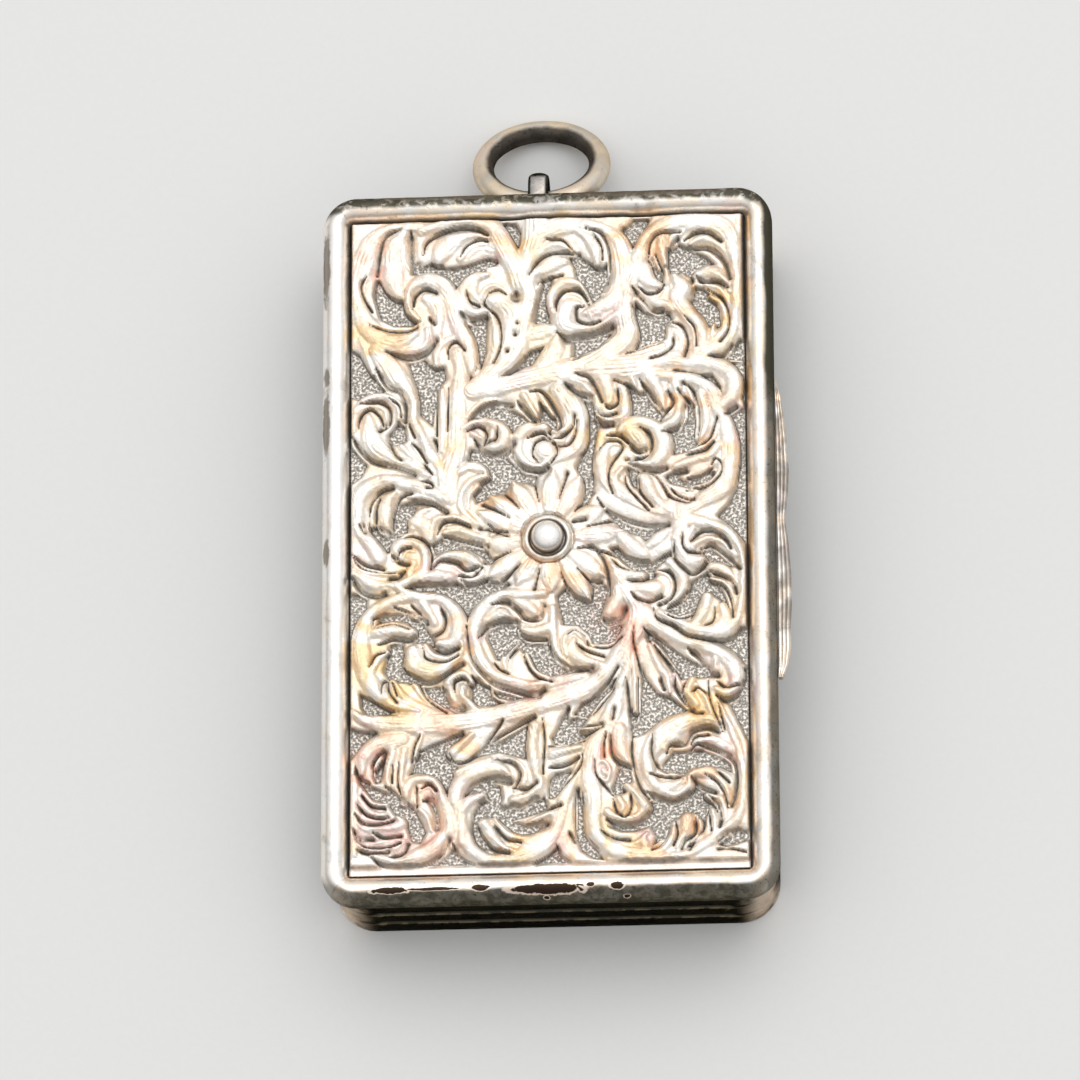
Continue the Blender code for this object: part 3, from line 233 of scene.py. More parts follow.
# Aged silver with a bump of the given depth. Each value is a number, a colour, or a function
# that adds nodes to the tree and returns an output
def silver_finish(name, clean, dirt_and_shade_colour, dirt_and_shade, tint, speckle, polish, bump_depth, stain=None):
    material, tree, shader = start_material(name)
    group = tree.nodes.new("ShaderNodeGroup")
    group.node_tree = aged_silver
    given = {"Clean": clean, "Dirt Colour": dirt_and_shade_colour, "Dirt": dirt_and_shade, "Tint": tint, "Speckle": speckle,
             "Polish": polish}
    for label, value in given.items():
        if callable(value):
            tree.links.new(value(tree), group.inputs[label])
        else:
            group.inputs[label].default_value = rgba(value) if isinstance(value, tuple) else value
    colour = group.outputs["Colour"]
    if stain:
        colour = stain(tree, colour)
    tree.links.new(colour, shader.inputs["Base Color"])
    tree.links.new(colour, shader.inputs["Specular Tint"])
    tree.links.new(group.outputs["Roughness"], shader.inputs["Roughness"])
    add_bump(tree, shader, group.outputs["Height"], bump_depth)
    return material


# Points once round a rounded rectangle, each with its outward direction and its distance
# along a straight side from the nearer end, which is 0 round the corners
def walk_round(half_width, half_length, radius):
    straight = (half_length - radius, half_width - radius)
    stops = []
    for quarter in range(4):
        side_x = 1 if quarter in (0, 3) else -1
        side_y = 1 if quarter in (0, 1) else -1
        middle = Vector((side_x * (half_width - radius), side_y * (half_length - radius), 0))
        for step in range(CORNER_STEPS + 1):
            angle = math.radians(90) * (quarter + step / CORNER_STEPS)
            out = Vector((math.cos(angle), math.sin(angle), 0))
            stops.append((middle + out * radius, out, 0.0))
        length = 2 * straight[(quarter + 1) % 2]
        along = Vector((-out.y, out.x, 0))
        for step in range(1, SIDE_STEPS):
            gone = length * step / SIDE_STEPS
            stops.append((middle + out * radius + along * gone, out, min(gone, length - gone)))
    return stops


def new_mesh_object(name, bm, material):
    bmesh.ops.recalc_face_normals(bm, faces=bm.faces)
    mesh = bpy.data.meshes.new(name)
    bm.to_mesh(mesh)
    bm.free()
    mesh.shade_smooth()
    mesh.set_sharp_from_angle(angle=SHARP_ANGLE)
    mesh.materials.append(material)
    item = bpy.data.objects.new(name, mesh)
    bpy.context.scene.collection.objects.link(item)
    return item


# A body through a row of cross-sections, joined to a loop or capped at both ends
def loft(name, sections, looped, material):
    bm = bmesh.new()
    rows = [[bm.verts.new(point) for point in section] for section in sections]
    count = len(rows[0])
    pairs = list(zip(rows, rows[1:]))
    if looped:
        pairs.append((rows[-1], rows[0]))
    for first, second in pairs:
        for index in range(count):
            after = (index + 1) % count
            bm.faces.new((first[index], first[after], second[after], second[index]))
    if not looped:
        bm.faces.new(rows[0])
        bm.faces.new(reversed(rows[-1]))
    return new_mesh_object(name, bm, material)


# Marks each point of a lofted body with a value that its cross-section gives
def mark(item, label, values):
    count = len(item.data.vertices) // len(values)
    attribute_values = np.tile(np.array(values, np.float32), count)
    item.data.attributes.new(label, "FLOAT", "POINT").data.foreach_set("value", attribute_values)


# Old handling has left the thin metal slightly uneven
def dent(point, depth, size=DENT_SIZE):
    return noise.noise(Vector(point) / size) * depth


# Depth of the grooves at a height, running out towards the ends of a straight side
def groove_inset(z, inside_side):
    if inside_side <= 0:
        return 0.0
    runout = min(1.0, inside_side / GROOVE_RUNOUT)
    depth = 0.0
    for height in GROOVE_HEIGHTS:
        across = abs(z - height) / GROOVE_HALF_WIDTH
        if across < 1:
            curve = math.cos(across * math.radians(90)) ** GROOVE_FULLNESS
            depth = max(depth, GROOVE_DEPTH * runout * curve)
    return depth


def build_wall(material):
    bottom, top = wall_low.z, wall_high.z
    heights = [bottom, bottom + WALL_EDGE]
    for height in GROOVE_HEIGHTS:
        steps = range(-GROOVE_STEPS, GROOVE_STEPS + 1)
        heights += [height + GROOVE_HALF_WIDTH * step / GROOVE_STEPS for step in steps]
    heights += [top - WALL_EDGE, top]
    sections = []
    for point, out, inside_side in walk_round(wall_high.x, wall_high.y, CASE_CORNER):
        notched = point.x < 0 and abs(point.y) < NOTCH_HALF_LENGTH and inside_side > 0
        ceiling = NOTCH_BOTTOM if notched else top
        section = []
        for z in heights:
            edge = WALL_EDGE / 2 if z in (bottom, top) else 0
            inset = edge + groove_inset(z, inside_side) + abs(dent((point.x, point.y, z), WALL_DENT))
            section.append((*(point - out * inset).xy, min(z, ceiling)))
        for z in (top, bottom):
            section.append((*(point - out * WALL_THICKNESS).xy, min(z, ceiling)))
        sections.append(section)
    wall = loft("reeded_wall", sections, True, material)
    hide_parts("case_wall")
    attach(wall, "case")


def build_floor(material):
    bottom, top = floor_low.z, floor_high.z
    profile = ((FLOOR_EDGE, bottom), (FLOOR_EDGE_BEND, bottom + FLOOR_EDGE_BEND), (0, bottom + FLOOR_EDGE),
               (0, top), (FLOOR_EDGE, top))
    sections = []
    outline = walk_round(floor_high.x, floor_high.y, CASE_CORNER)
    for inset, z in profile:
        sections.append([(*(point - out * inset).xy, z) for point, out, inside_side in outline])
    floor = loft("case_base", sections, False, material)
    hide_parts("case_floor")
    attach(floor, "case")


# 1 on the wall's rounded corners and 0 along its sides
def corner_share(tree, parts):
    across = minus(tree, wall_high.x, calculate(tree, "ABSOLUTE", parts["X"]))
    along = minus(tree, wall_high.y, calculate(tree, "ABSOLUTE", parts["Y"]))
    across = fade(tree, across, PLAIN_CORNER_START, PLAIN_CORNER_FULL)
    along = fade(tree, along, PLAIN_CORNER_START, PLAIN_CORNER_FULL)
    return times(tree, across, along)


# Metal painted dark as shade over its tarnish, with painted highlights: thin pale dashes
# under the grooves and paler patches on the plain corners
def wall_tone(tree):
    place = object_place(tree)
    parts = split(tree, place)
    # Painted highlight: the plain corners are paler in patches
    highlight_patches = fade(tree, grain(tree, place, size=1.5 * MM, detail=4.0), 0.25, 0.5)
    corner = corner_share(tree, parts)
    colour = mix_colours(tree, times(tree, corner, highlight_patches), SHADED_DARK_SILVER, CORNER_HIGHLIGHT_ROSE)
    dashes = fade(tree, grain(tree, place, size=0.8 * MM, detail=4.0), 0.42, 0.56)
    dashes = times(tree, dashes, minus(tree, 1.0, corner))
    # Painted highlight in thin dashes just under each groove
    for groove in GROOVE_HEIGHTS:
        level = groove - GROOVE_LINE_DROP
        distance = calculate(tree, "ABSOLUTE", minus(tree, parts["Z"], level))
        groove_highlight = times(tree, fade(tree, distance, GROOVE_LINE_HALF, GROOVE_LINE_CORE), dashes)
        colour = mix_colours(tree, groove_highlight, colour, GROOVE_HIGHLIGHT_GOLD)
    return colour


# Grime lies in the grooves, which run out before the corners
def groove_dirt(tree):
    place = object_place(tree)
    parts = split(tree, place)
    grime = 0.0
    for groove in GROOVE_HEIGHTS:
        distance = calculate(tree, "ABSOLUTE", minus(tree, parts["Z"], groove))
        grime = plus(tree, grime, fade(tree, distance, GRIME_HALF, GRIME_CORE))
    grime = times(tree, grime, minus(tree, 1.0, corner_share(tree, parts)))
    cloud = fade(tree, grain(tree, place, size=2.6 * MM, detail=5.0, distortion=0.4), 0.40, 0.68, 0.0, 0.25)
    return plus(tree, grime, cloud, clamp=True)


case_silver = silver_finish("case_silver", wall_tone, BLACK_TARNISH_AND_SHADE, groove_dirt, tint=0.02, speckle=0.4,
                            polish=0.24, bump_depth=0.02 * MM)
build_wall(case_silver)
build_floor(case_silver)

# Inner flange and ledge
# The flange is a thin gilt band that stands inside the wall and guides the lid. A strip
# soldered round it makes the ledge that the grille lies on.
GILT = (0.90, 0.62, 0.24)
WORN_GILT = (0.70, 0.56, 0.36)
GILT_STAIN = (0.24, 0.13, 0.05)


# Gilding worn and stained; upper is the colour of the faces that look upwards, where it differs
def gilt_finish(name, upper=None):
    material, tree, shader = start_material(name)
    coordinates = add_node(tree, "TexCoord").outputs
    place = coordinates["Object"]
    wear = fade(tree, grain(tree, place, size=2.4 * MM, detail=5.0, distortion=0.5), 0.48, 0.66)
    colour = mix_colours(tree, wear, GILT, WORN_GILT)
    stain = fade(tree, grain(tree, place, size=0.9 * MM, detail=6.0), 0.60, 0.78, 0.0, 0.55)
    colour = mix_colours(tree, stain, colour, GILT_STAIN)
    if upper:
        upwards = fade(tree, split(tree, coordinates["Normal"])["Z"], 0.5, 0.9)
        colour = mix_colours(tree, upwards, colour, upper)
    tree.links.new(colour, shader.inputs["Base Color"])
    scuffs = grain(tree, place, size=0.25 * MM, detail=4.0)
    rough = plus(tree, 0.16, times(tree, scuffs, 0.22))
    rough = plus(tree, rough, times(tree, stain, 0.3))
    tree.links.new(rough, shader.inputs["Roughness"])
    add_bump(tree, shader, scuffs, 0.015 * MM)
    return material


# A CAD solid whose shape is right stays and gets a better finish
def refinish(name, material):
    nodes[name].data.materials.clear()
    nodes[name].data.materials.append(material)


gilt = gilt_finish("parcel_gilt")
refinish("inner_flange", gilt)
refinish("grille_ledge", gilt)

# Sponge
# A slice of natural sponge, cut to the case and soaked with scented vinegar. It is
# pressed in under the ledge, so its top bulges and its edges are rounded.
sponge_low, sponge_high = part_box("sponge")
SPONGE_CORNER = 1.2 * MM
SPONGE_SHOULDER = 0.9 * MM
SPONGE_PORE = 0.5 * MM
SPONGE_ROWS = 26
SPONGE_CROWN_FOOT = 0.86
SPONGE_CROWN_RISE = 0.1
SPONGE_LUMP = 0.16 * MM
SPONGE_LUMP_SIZE = 0.7 * MM
SPONGE_SINK = 0.1 * MM
SPONGE_FIBRE = 0.12 * MM
SPONGE_BUMP = 0.12 * MM
SPONGE_SIDE = ((1.0, 0.0), (0.3, 0.15), (0.0, 0.4), (0.15, 0.7))
SPONGE_BROWN = (0.42, 0.25, 0.10)
SPONGE_PALE = (0.66, 0.46, 0.22)
SPONGE_PORE_BROWN = (0.10, 0.05, 0.02)


def sponge_finish():
    material, tree, shader = start_material("scented_sponge", metallic=0.0)
    place = object_place(tree)
    cells = add_node(tree, "TexVoronoi", {"Vector": place, "Scale": 1 / SPONGE_PORE}).outputs["Distance"]
    pore = fade(tree, cells, 0.38, 0.12)
    tone = mix_colours(tree, grain(tree, place, size=2.0 * MM, detail=4.0), SPONGE_BROWN, SPONGE_PALE)
    tree.links.new(mix_colours(tree, pore, tone, SPONGE_PORE_BROWN), shader.inputs["Base Color"])
    shader.inputs["Roughness"].default_value = 0.95
    fibres = grain(tree, place, size=SPONGE_FIBRE, detail=5.0)
    add_bump(tree, shader, minus(tree, fibres, pore), SPONGE_BUMP)
    return material


# Each profile point is its distance in from the sponge's side and its height as a share
def build_sponge(material):
    half_width, half_length = sponge_high.x, sponge_high.y
    height = sponge_high.z - sponge_low.z
    outline = walk_round(half_width, half_length, SPONGE_CORNER)
    profile = [(share * SPONGE_SHOULDER, rise) for share, rise in SPONGE_SIDE]
    for row in range(SPONGE_ROWS):
        share = row / SPONGE_ROWS
        rise = SPONGE_CROWN_FOOT + SPONGE_CROWN_RISE * math.sin(share * math.radians(90))
        profile.append((SPONGE_SHOULDER / 2 + share * (half_width - SPONGE_SHOULDER), rise))
    sections = []
    for inset, rise in profile:
        section = []
        for point, out, inside_side in outline:
            x = max(-1, min(1, point.x / half_width)) * (half_width - inset)
            y = max(-1, min(1, point.y / half_length)) * (half_length - inset)
            lump = dent((x, y, rise * MM), SPONGE_LUMP, SPONGE_LUMP_SIZE) - SPONGE_SINK
            on_top = rise >= SPONGE_CROWN_FOOT
            section.append((x, y, sponge_low.z + rise * height + (lump if on_top else 0)))
        sections.append(section)
    sponge = loft("scented_sponge", sections, False, material)
    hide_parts("sponge")
    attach(sponge, "case")


build_sponge(sponge_finish())

# Lid hinge
# Five short tubes of drawn silver share one pin. Three are soldered into a notch in the
# wall and two under the lid's edge. The pin's ends are filed flush.
KNUCKLE_CHAMFER = 0.05 * MM
KNUCKLE_STEPS = 32
HINGE_BORE_RADIUS = 0.24 * MM
HINGE_KNUCKLES = 5


def even_dirt(tree, most=0.7):
    place = object_place(tree)
    return fade(tree, grain(tree, place, size=1.6 * MM, detail=5.0, distortion=0.5), 0.42, 0.68, 0.0, most)


# A tube along Y that takes its place and size from a CAD node
def build_knuckle(name, node, bore_radius, material, body):
    low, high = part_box(node)
    middle = (low + high) / 2
    radius = (high.z - low.z) / 2
    half = (high.y - low.y) / 2
    edge = KNUCKLE_CHAMFER
    corners = ((bore_radius, -half), (radius - edge, -half), (radius, edge - half), (radius, half - edge),
               (radius - edge, half), (bore_radius, half))
    sections = []
    for step in range(KNUCKLE_STEPS):
        angle = math.tau * step / KNUCKLE_STEPS
        out = Vector((math.cos(angle), 0, math.sin(angle)))
        sections.append([middle + out * distance + Vector((0, y, 0)) for distance, y in corners])
    item = loft(name, sections, True, material)
    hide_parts(node)
    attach(item, body)


hinge_silver = silver_finish("hinge_silver", RUBBED_SILVER, BLACK_TARNISH_AND_SHADE, even_dirt, tint=0.3, speckle=0.5,
                             polish=0.25, bump_depth=0.01 * MM)
for index in range(1, HINGE_KNUCKLES + 1):
    side = "lid" if index % 2 == 0 else "case"
    node = "%s_knuckle_%d" % (side, index)
    build_knuckle("hinge_tube_%d" % index, node, HINGE_BORE_RADIUS, hinge_silver, side)
refinish("hinge_pin", hinge_silver)

# Grille and its hinge
# The grille is sheet silver, fretted with a piercing saw, engraved round the holes and
# gilt against the vinegar. It turns on a thin pin between two small tubes.
GRILLE_BORE_RADIUS = 0.17 * MM
for name, node, body in (("grille_tube", "grille_knuckle", "grille_leaf"),
                         ("grille_tube_front", "grille_end_knuckle_front", "case"),
                         ("grille_tube_back", "grille_end_knuckle_back", "case")):
    build_knuckle(name, node, GRILLE_BORE_RADIUS, gilt, body)
refinish("grille", gilt)
refinish("grille_pin", gilt)

# Lid plate
# A flat gilt sheet closes the lid inside. The relief is soldered to its other face, which
# is black.
refinish("lid_plate", gilt_finish("plate_gilt", BLACK_TARNISH_AND_SHADE))

# Rim of the lid
# Four lengths of half-round moulding, mitred at the corners and soldered round the lid.
# Rubbed bright on top and dark below, where it is tarnished and, on the faces that look to the
# front and right, painted dark as shade. The left length is painted whiter as a highlight.
# Plate is worn through in patches along the front.
back_low, back_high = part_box("lid_rim_back")
LID_HALF_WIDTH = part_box("lid_rim_right")[1].x
LID_HALF_LENGTH = back_high.y
LID_BOTTOM = back_low.z
LID_TOP = back_high.z
LID_CORNER = 2.0 * MM
RIM_WIDTH = 1.6 * MM
RIM_INNER_CORNER = 0.15 * MM
RIM_SHOULDER = 6.95 * MM
RIM_FOOT = 7.04 * MM
RIM_LEG = 0.75 * MM
RIM_EDGE = 0.08 * MM
RIM_ARC = 166
RIM_ARC_STEPS = 22
RIM_CORNER_STEPS = 8
RIM_LENGTH_STEPS = 140
RIM_DENT = 0.07 * MM
RIM_DENT_SIZE = 1.6 * MM
WORN_CORNER = 0.4 * MM
WORN_CORNER_END = 2.4 * MM
BLACK_SIDE_START = 6.0 * MM
BLACK_SIDE_FULL = 10.0 * MM
MITRE_GAP = 0.006 * MM
NO_STAIN = -9.0
BRIGHT_SILVER = (0.88, 0.84, 0.79)
# Painted highlight on the left rim and on the stud
HIGHLIGHT_WHITE_SILVER = (0.97, 0.95, 0.92)
# Tarnish, also the painted shade on the rim's faces that look to the front and right
RIM_TARNISH_AND_SHADE = (0.1, 0.094, 0.07)
BROWN_STAIN = (0.05, 0.032, 0.022)
GREY_STAIN = (0.24, 0.2, 0.155)
GOLD_STAIN = (0.72, 0.5, 0.27)
PALE_EDGE = (0.9, 0.76, 0.64)


def in_millimetres(rows):
    return tuple(tuple(value * MM for value in row) for row in rows)


# Each stain is its middle along the rim, half its length, its middle across and half its width
FRONT_STAINS = in_millimetres((
    (-8.95, 1.0, 0.62, 0.18), (-6.45, 1.5, 0.66, 0.09), (-3.9, 0.55, 0.68, 0.19), (-0.1, 2.1, 0.54, 0.28),
    (2.3, 0.26, 0.72, 0.13), (3.8, 0.45, 0.65, 0.2), (-0.15, 0.18, 0.12, 0.07), (4.35, 0.18, 0.12, 0.07),
))
LEFT_STAINS = in_millimetres((
    (16.6, 2.4, 0.25, 0.25), (10.0, 0.6, 0.3, 0.2), (7.1, 2.2, 0.28, 0.25), (-0.5, 0.8, 0.3, 0.22),
))
RIGHT_STAINS = in_millimetres((
    (9.3, 1.5, 1.35, 0.22), (0.0, 2.2, 1.38, 0.2), (18.4, 1.0, 1.3, 0.2),
))
BACK_STAINS = in_millimetres((
    (-6.0, 4.0, 0.2, 0.3), (6.0, 5.0, 0.3, 0.35),
))


# Cross-section of the moulding: inset from the lid's outer edge, and height
def rim_profile():
    middle = RIM_WIDTH / 2
    rise = LID_TOP - RIM_SHOULDER
    points = [(RIM_EDGE, LID_BOTTOM), (0.0, LID_BOTTOM + RIM_EDGE)]
    for step in range(RIM_ARC_STEPS + 1):
        angle = math.radians(180 - RIM_ARC * step / RIM_ARC_STEPS)
        points.append((middle + middle * math.cos(angle), RIM_SHOULDER + rise * math.sin(angle)))
    points += [(RIM_WIDTH, RIM_FOOT), (RIM_LEG, RIM_FOOT), (RIM_LEG, LID_BOTTOM)]
    return points


# A point on the rim: quarter 0 to 3 with 0 to 90 degrees round its corner, at an inset
def rim_corner(inset, quarter, degrees, trim_x, trim_y):
    radius = LID_CORNER - (LID_CORNER - RIM_INNER_CORNER) * inset / RIM_WIDTH
    side_x = 1 if quarter in (0, 3) else -1
    side_y = 1 if quarter in (0, 1) else -1
    angle = math.radians(90 * quarter + degrees)
    x = side_x * (LID_HALF_WIDTH - inset - trim_x - radius) + radius * math.cos(angle)
    y = side_y * (LID_HALF_LENGTH - inset - trim_y - radius) + radius * math.sin(angle)
    return Vector((x, y, 0))


def build_rim_length(name, node, first_quarter, material):
    along_x = first_quarter % 2 == 0
    trim_x = MITRE_GAP if along_x else 0
    trim_y = 0 if along_x else MITRE_GAP
    next_quarter = (first_quarter + 1) % 4
    stops = [(45 + 45 * step / RIM_CORNER_STEPS, 0, 0) for step in range(RIM_CORNER_STEPS + 1)]
    stops += [(90, 0, step / RIM_LENGTH_STEPS) for step in range(1, RIM_LENGTH_STEPS)]
    stops += [(90, 45 * step / RIM_CORNER_STEPS, 1) for step in range(RIM_CORNER_STEPS + 1)]
    sections = []
    for start_degrees, end_degrees, share in stops:
        section = []
        for inset, z in rim_profile():
            start = rim_corner(inset, first_quarter, start_degrees, trim_x, trim_y)
            end = rim_corner(inset, next_quarter, end_degrees, trim_x, trim_y)
            place = start.lerp(end, share)
            wave = 0.0
            if z > RIM_SHOULDER:
                wave = -abs(dent((place.x, place.y, z), RIM_DENT, RIM_DENT_SIZE))
            section.append((place.x, place.y, z + wave))
        sections.append(section)
    length = loft(name, sections, False, material)
    mark(length, "inset", [inset for inset, z in rim_profile()])
    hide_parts(node)
    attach(length, "lid")


# How near a place on the rim is to one stain: 1 at its middle and 0 at its edge
def make_stain_spot():
    inputs = (
        ("Place", "Vector", (0.0, 0.0, 0.0)),
        ("Middle", "Vector", (0.0, 0.0, 0.0)),
        ("Half Size", "Vector", (1.0, 1.0, 1.0)),
    )
    tree = new_group("stain_spot", inputs, (("Nearness", "Float"),))
    given = tree.nodes.new("NodeGroupInput").outputs
    away = add_node(tree, "VectorMath", {0: given["Place"], 1: given["Middle"]}, operation="SUBTRACT")
    away = add_node(tree, "VectorMath", {0: away.outputs[0], 1: given["Half Size"]}, operation="DIVIDE")
    length = add_node(tree, "VectorMath", {0: away.outputs[0]}, operation="LENGTH").outputs["Value"]
    result = tree.nodes.new("NodeGroupOutput")
    tree.links.new(minus(tree, 1.0, length), result.inputs["Nearness"])
    return tree


stain_spot = make_stain_spot()


# Uneven value about 0, which makes an edge ragged
def wobble(tree, place, size, amount, distortion=0.0):
    cloud = grain(tree, place, size=size, detail=4.0, distortion=distortion)
    return times(tree, minus(tree, cloud, 0.5), amount)


# Stains with ragged edges, and where asked a pale border of bare metal round them
def rim_stain(axis, stains, stain_colour, border):
    def stain(tree, colour):
        place = object_place(tree)
        along = split(tree, place)[axis]
        unrolled = add_node(tree, "CombineXYZ", {0: along, 1: attribute(tree, "inset")}).outputs[0]
        nearest = NO_STAIN
        for middle, half_length, across, half_width in stains:
            spot = tree.nodes.new("ShaderNodeGroup")
            spot.node_tree = stain_spot
            tree.links.new(unrolled, spot.inputs["Place"])
            spot.inputs["Middle"].default_value = (middle, across, 0.0)
            spot.inputs["Half Size"].default_value = (half_length, half_width, 1.0)
            nearest = larger(tree, spot.outputs["Nearness"], nearest)
        ragged = wobble(tree, place, size=0.5 * MM, amount=1.1, distortion=0.8)
        nearest = plus(tree, nearest, ragged)
        if border:
            colour = mix_colours(tree, fade(tree, nearest, -0.26, -0.14, 0.0, 0.9), colour, PALE_EDGE)
            return mix_colours(tree, fade(tree, nearest, 0.0, 0.08), colour, stain_colour)
        return mix_colours(tree, fade(tree, nearest, -0.1, 0.3, 0.0, 0.75), colour, stain_colour)
    return stain


# Tarnish keeps to the sides that face outwards, where nothing rubs it off; the faces that look
# to the front and to the right are also painted dark as shade
def rim_tarnish_and_shade(tree):
    coordinates = add_node(tree, "TexCoord").outputs
    place = coordinates["Object"]
    parts = split(tree, place)
    facing = split(tree, coordinates["Normal"])
    inset = attribute(tree, "inset")
    outer = fade(tree, inset, RIM_WIDTH * 0.55, RIM_WIDTH * 0.45)
    ragged = wobble(tree, place, size=1.6 * MM, amount=0.35)

    # In front, painted shade on the faces that look forwards, less at the worn corners
    front = fade(tree, minus(tree, ragged, facing["Y"]), 0.1, 0.44, 0.0, 0.95)
    smears = grain(tree, place, size=0.5 * MM, detail=6.0, distortion=0.4)
    front = times(tree, front, fade(tree, smears, 0.4, 0.6, 0.9, 1.0))
    to_side = minus(tree, LID_HALF_WIDTH, calculate(tree, "ABSOLUTE", parts["X"]))
    corner = fade(tree, to_side, WORN_CORNER, WORN_CORNER_END, 0.6, 1.0)
    front = times(tree, times(tree, front, corner), outer)

    # At the back, flaked off in places
    back = fade(tree, plus(tree, ragged, facing["Y"]), -0.4, 0.2, 0.0, 0.95)
    flakes = grain(tree, place, size=0.45 * MM, detail=5.0, distortion=0.5)
    back = times(tree, back, fade(tree, flakes, 0.36, 0.56, 0.55, 1.0))
    at_back = fade(tree, parts["Y"], LID_HALF_LENGTH - RIM_WIDTH, LID_HALF_LENGTH - 0.6 * RIM_WIDTH)
    back = times(tree, back, at_back)

    # On the right, painted shade on the faces that look right, blacker towards the back
    right = fade(tree, plus(tree, ragged, facing["X"]), 0.35, 0.7)
    blacker = fade(tree, parts["Y"], BLACK_SIDE_START, BLACK_SIDE_FULL, 0.72, 1.0)
    right = times(tree, times(tree, right, blacker), outer)

    # Beside the panel, tarnish and painted shade in the seam, and dirt in thin clouds all over
    groove = fade(tree, inset, RIM_WIDTH * 0.94, RIM_WIDTH, 0.0, 0.6)
    clouds = grain(tree, place, size=1.8 * MM, detail=6.0, distortion=0.7)
    dirt_and_shade = larger(tree, groove, fade(tree, clouds, 0.56, 0.72, 0.0, 0.3))
    for side in (front, back, right):
        dirt_and_shade = larger(tree, dirt_and_shade, side)
    return dirt_and_shade


# Name, first corner, the axis it runs along, stains and their colour, clean metal and speckle.
# On the left, the whiter metal and lower speckle are a painted highlight.
RIM_LENGTHS = (
    ("back", 0, "X", BACK_STAINS, GREY_STAIN, BRIGHT_SILVER, 0.3),
    ("left", 1, "Y", LEFT_STAINS, GREY_STAIN, HIGHLIGHT_WHITE_SILVER, 0.1),
    ("front", 2, "X", FRONT_STAINS, BROWN_STAIN, BRIGHT_SILVER, 0.3),
    ("right", 3, "Y", RIGHT_STAINS, GOLD_STAIN, BRIGHT_SILVER, 0.3),
)
for name, quarter, axis, stains, stain_colour, clean, speckle in RIM_LENGTHS:
    stain = rim_stain(axis, stains, stain_colour, border=name == "front")
    rim_silver = silver_finish("rim_silver_" + name, clean, RIM_TARNISH_AND_SHADE, rim_tarnish_and_shade, tint=1.5 * speckle,
                               speckle=speckle, polish=0.22, bump_depth=0.016 * MM, stain=stain)
    build_rim_length("moulding_" + name, "lid_rim_" + name, quarter, rim_silver)

# Relief panel
# A cast and chased silver plate of scrolling leaves round a flower, on a matted ground.
# It is soldered inside the rim. The tops are rubbed bright with warm stains, and dirt has
# stayed in the hollows. The hollows, the seam along the rim and the sides that fall to the
# front also carry painted shade.

# The carving is laid out in squares, and lengths without MM are in those squares
SQUARES_ACROSS = 20
SQUARES_DOWN = 35
STEPS_PER_SQUARE = 20
SAMPLES = 16
PANEL_GROUND = 7.2 * MM
PANEL_PAD = 7.56 * MM
RELIEF_HEIGHT = 0.88 * MM
FLOWER_CENTRE = (10.0, 17.45)
PAD_RADIUS_SHARE = 1.36
PETAL_TOP = 0.92
PETAL_SHAPE = ((0.35, 0.45), (0.62, 0.95), (0.8, 0.85), (1.02, 0.2))
PETAL_CUT = ((0.62, 0.06), (0.84, 0.12), (1.05, 0.22))
FAR = 9.0
NO_LENGTH = 1e-12
TOOL_MARK_SEED = 5
PATH_STEP = 0.12
LEAST_BREADTH = 0.06
HOLLOW_MARGIN = 0.6
LEAF_MARGIN = 1.2
VEIN_MARGIN = 1.0
HOLLOW_LEAN = 0.05
EDGE_SHARE = 0.45
EDGE_BREADTH = 0.2
SWELL_SHARE = 0.2
SWELL_BREADTH = 1.0
LEAF_SPREAD = 1.35
CROWN_FLATNESS = 1.2
CROWN_FOOT = 0.35
LEAF_OVERHANG = 0.35
OVERHANG_FADE = 0.22
LEAF_LINE_DEPTH = 0.1
LEAF_LINES = (0.25, 0.52, 0.78)
LEAF_LINE_WIDTH = 0.07
WAVE_DEPTH = 0.03
TOOL_MARK_DEPTH = 0.012
VEIN_SPREAD = 1.2
VEIN_DEPTH = 0.45
VEIN_FULLNESS = 0.7
VEIN_TIP = 0.3
VEIN_GROWTH = 5
VEIN_RUN = 1.25
VALLEY_DEPTH = 0.42
VALLEY_BREADTH = 0.5
VALLEY_LOSS = 0.6
VALLEY_GAIN = 3.0
BORDER_GROOVE = 0.13
# Tarnish film and painted shade in a thin band along the rim
BORDER_FILM_AND_SHADE = 0.6
BORDER_FILM_AND_SHADE_WIDTH = 0.117
FOOT_BAND = 0.5
FOOT_HEIGHT = 0.16
FOOT_RISE = 0.2
FOOT_FILM = 0.15
RELIEF_SILVER = (0.99, 0.94, 0.87)
# Dirt, also the painted shade in the panel's hollows and on the slopes that fall to the front
RELIEF_DIRT_AND_SHADE = (0.22, 0.2, 0.175)
GOLD_FILM = 0.42
GOLD_SHARE = 0.95
PINK_STAIN = (1.0, 0.77, 0.72)
PINK_FOOT = 0.35

# How dark the creases, the hollows and the sides that fall to the front are. The hollows hold
# dirt and painted shade, and the sides that fall to the front hold painted shade.
CREASE_GAIN = 7.0
CREASE_START = 0.12
HOLLOW_GAIN = 2.6
HOLLOW_START = 0.05
HOLLOW_MOST = 0.65
HOLLOW_FLAT_SHARE = 0.7
HOLLOW_FALL_SHARE = 0.3
HOLLOW_LEAST_SHARE = 0.3
FALL_START = 0.9
FALL_RANGE = 2.6
FALL_MOST = 0.7
GROUND_TOP = 0.2
GROUND_FADE = 0.1

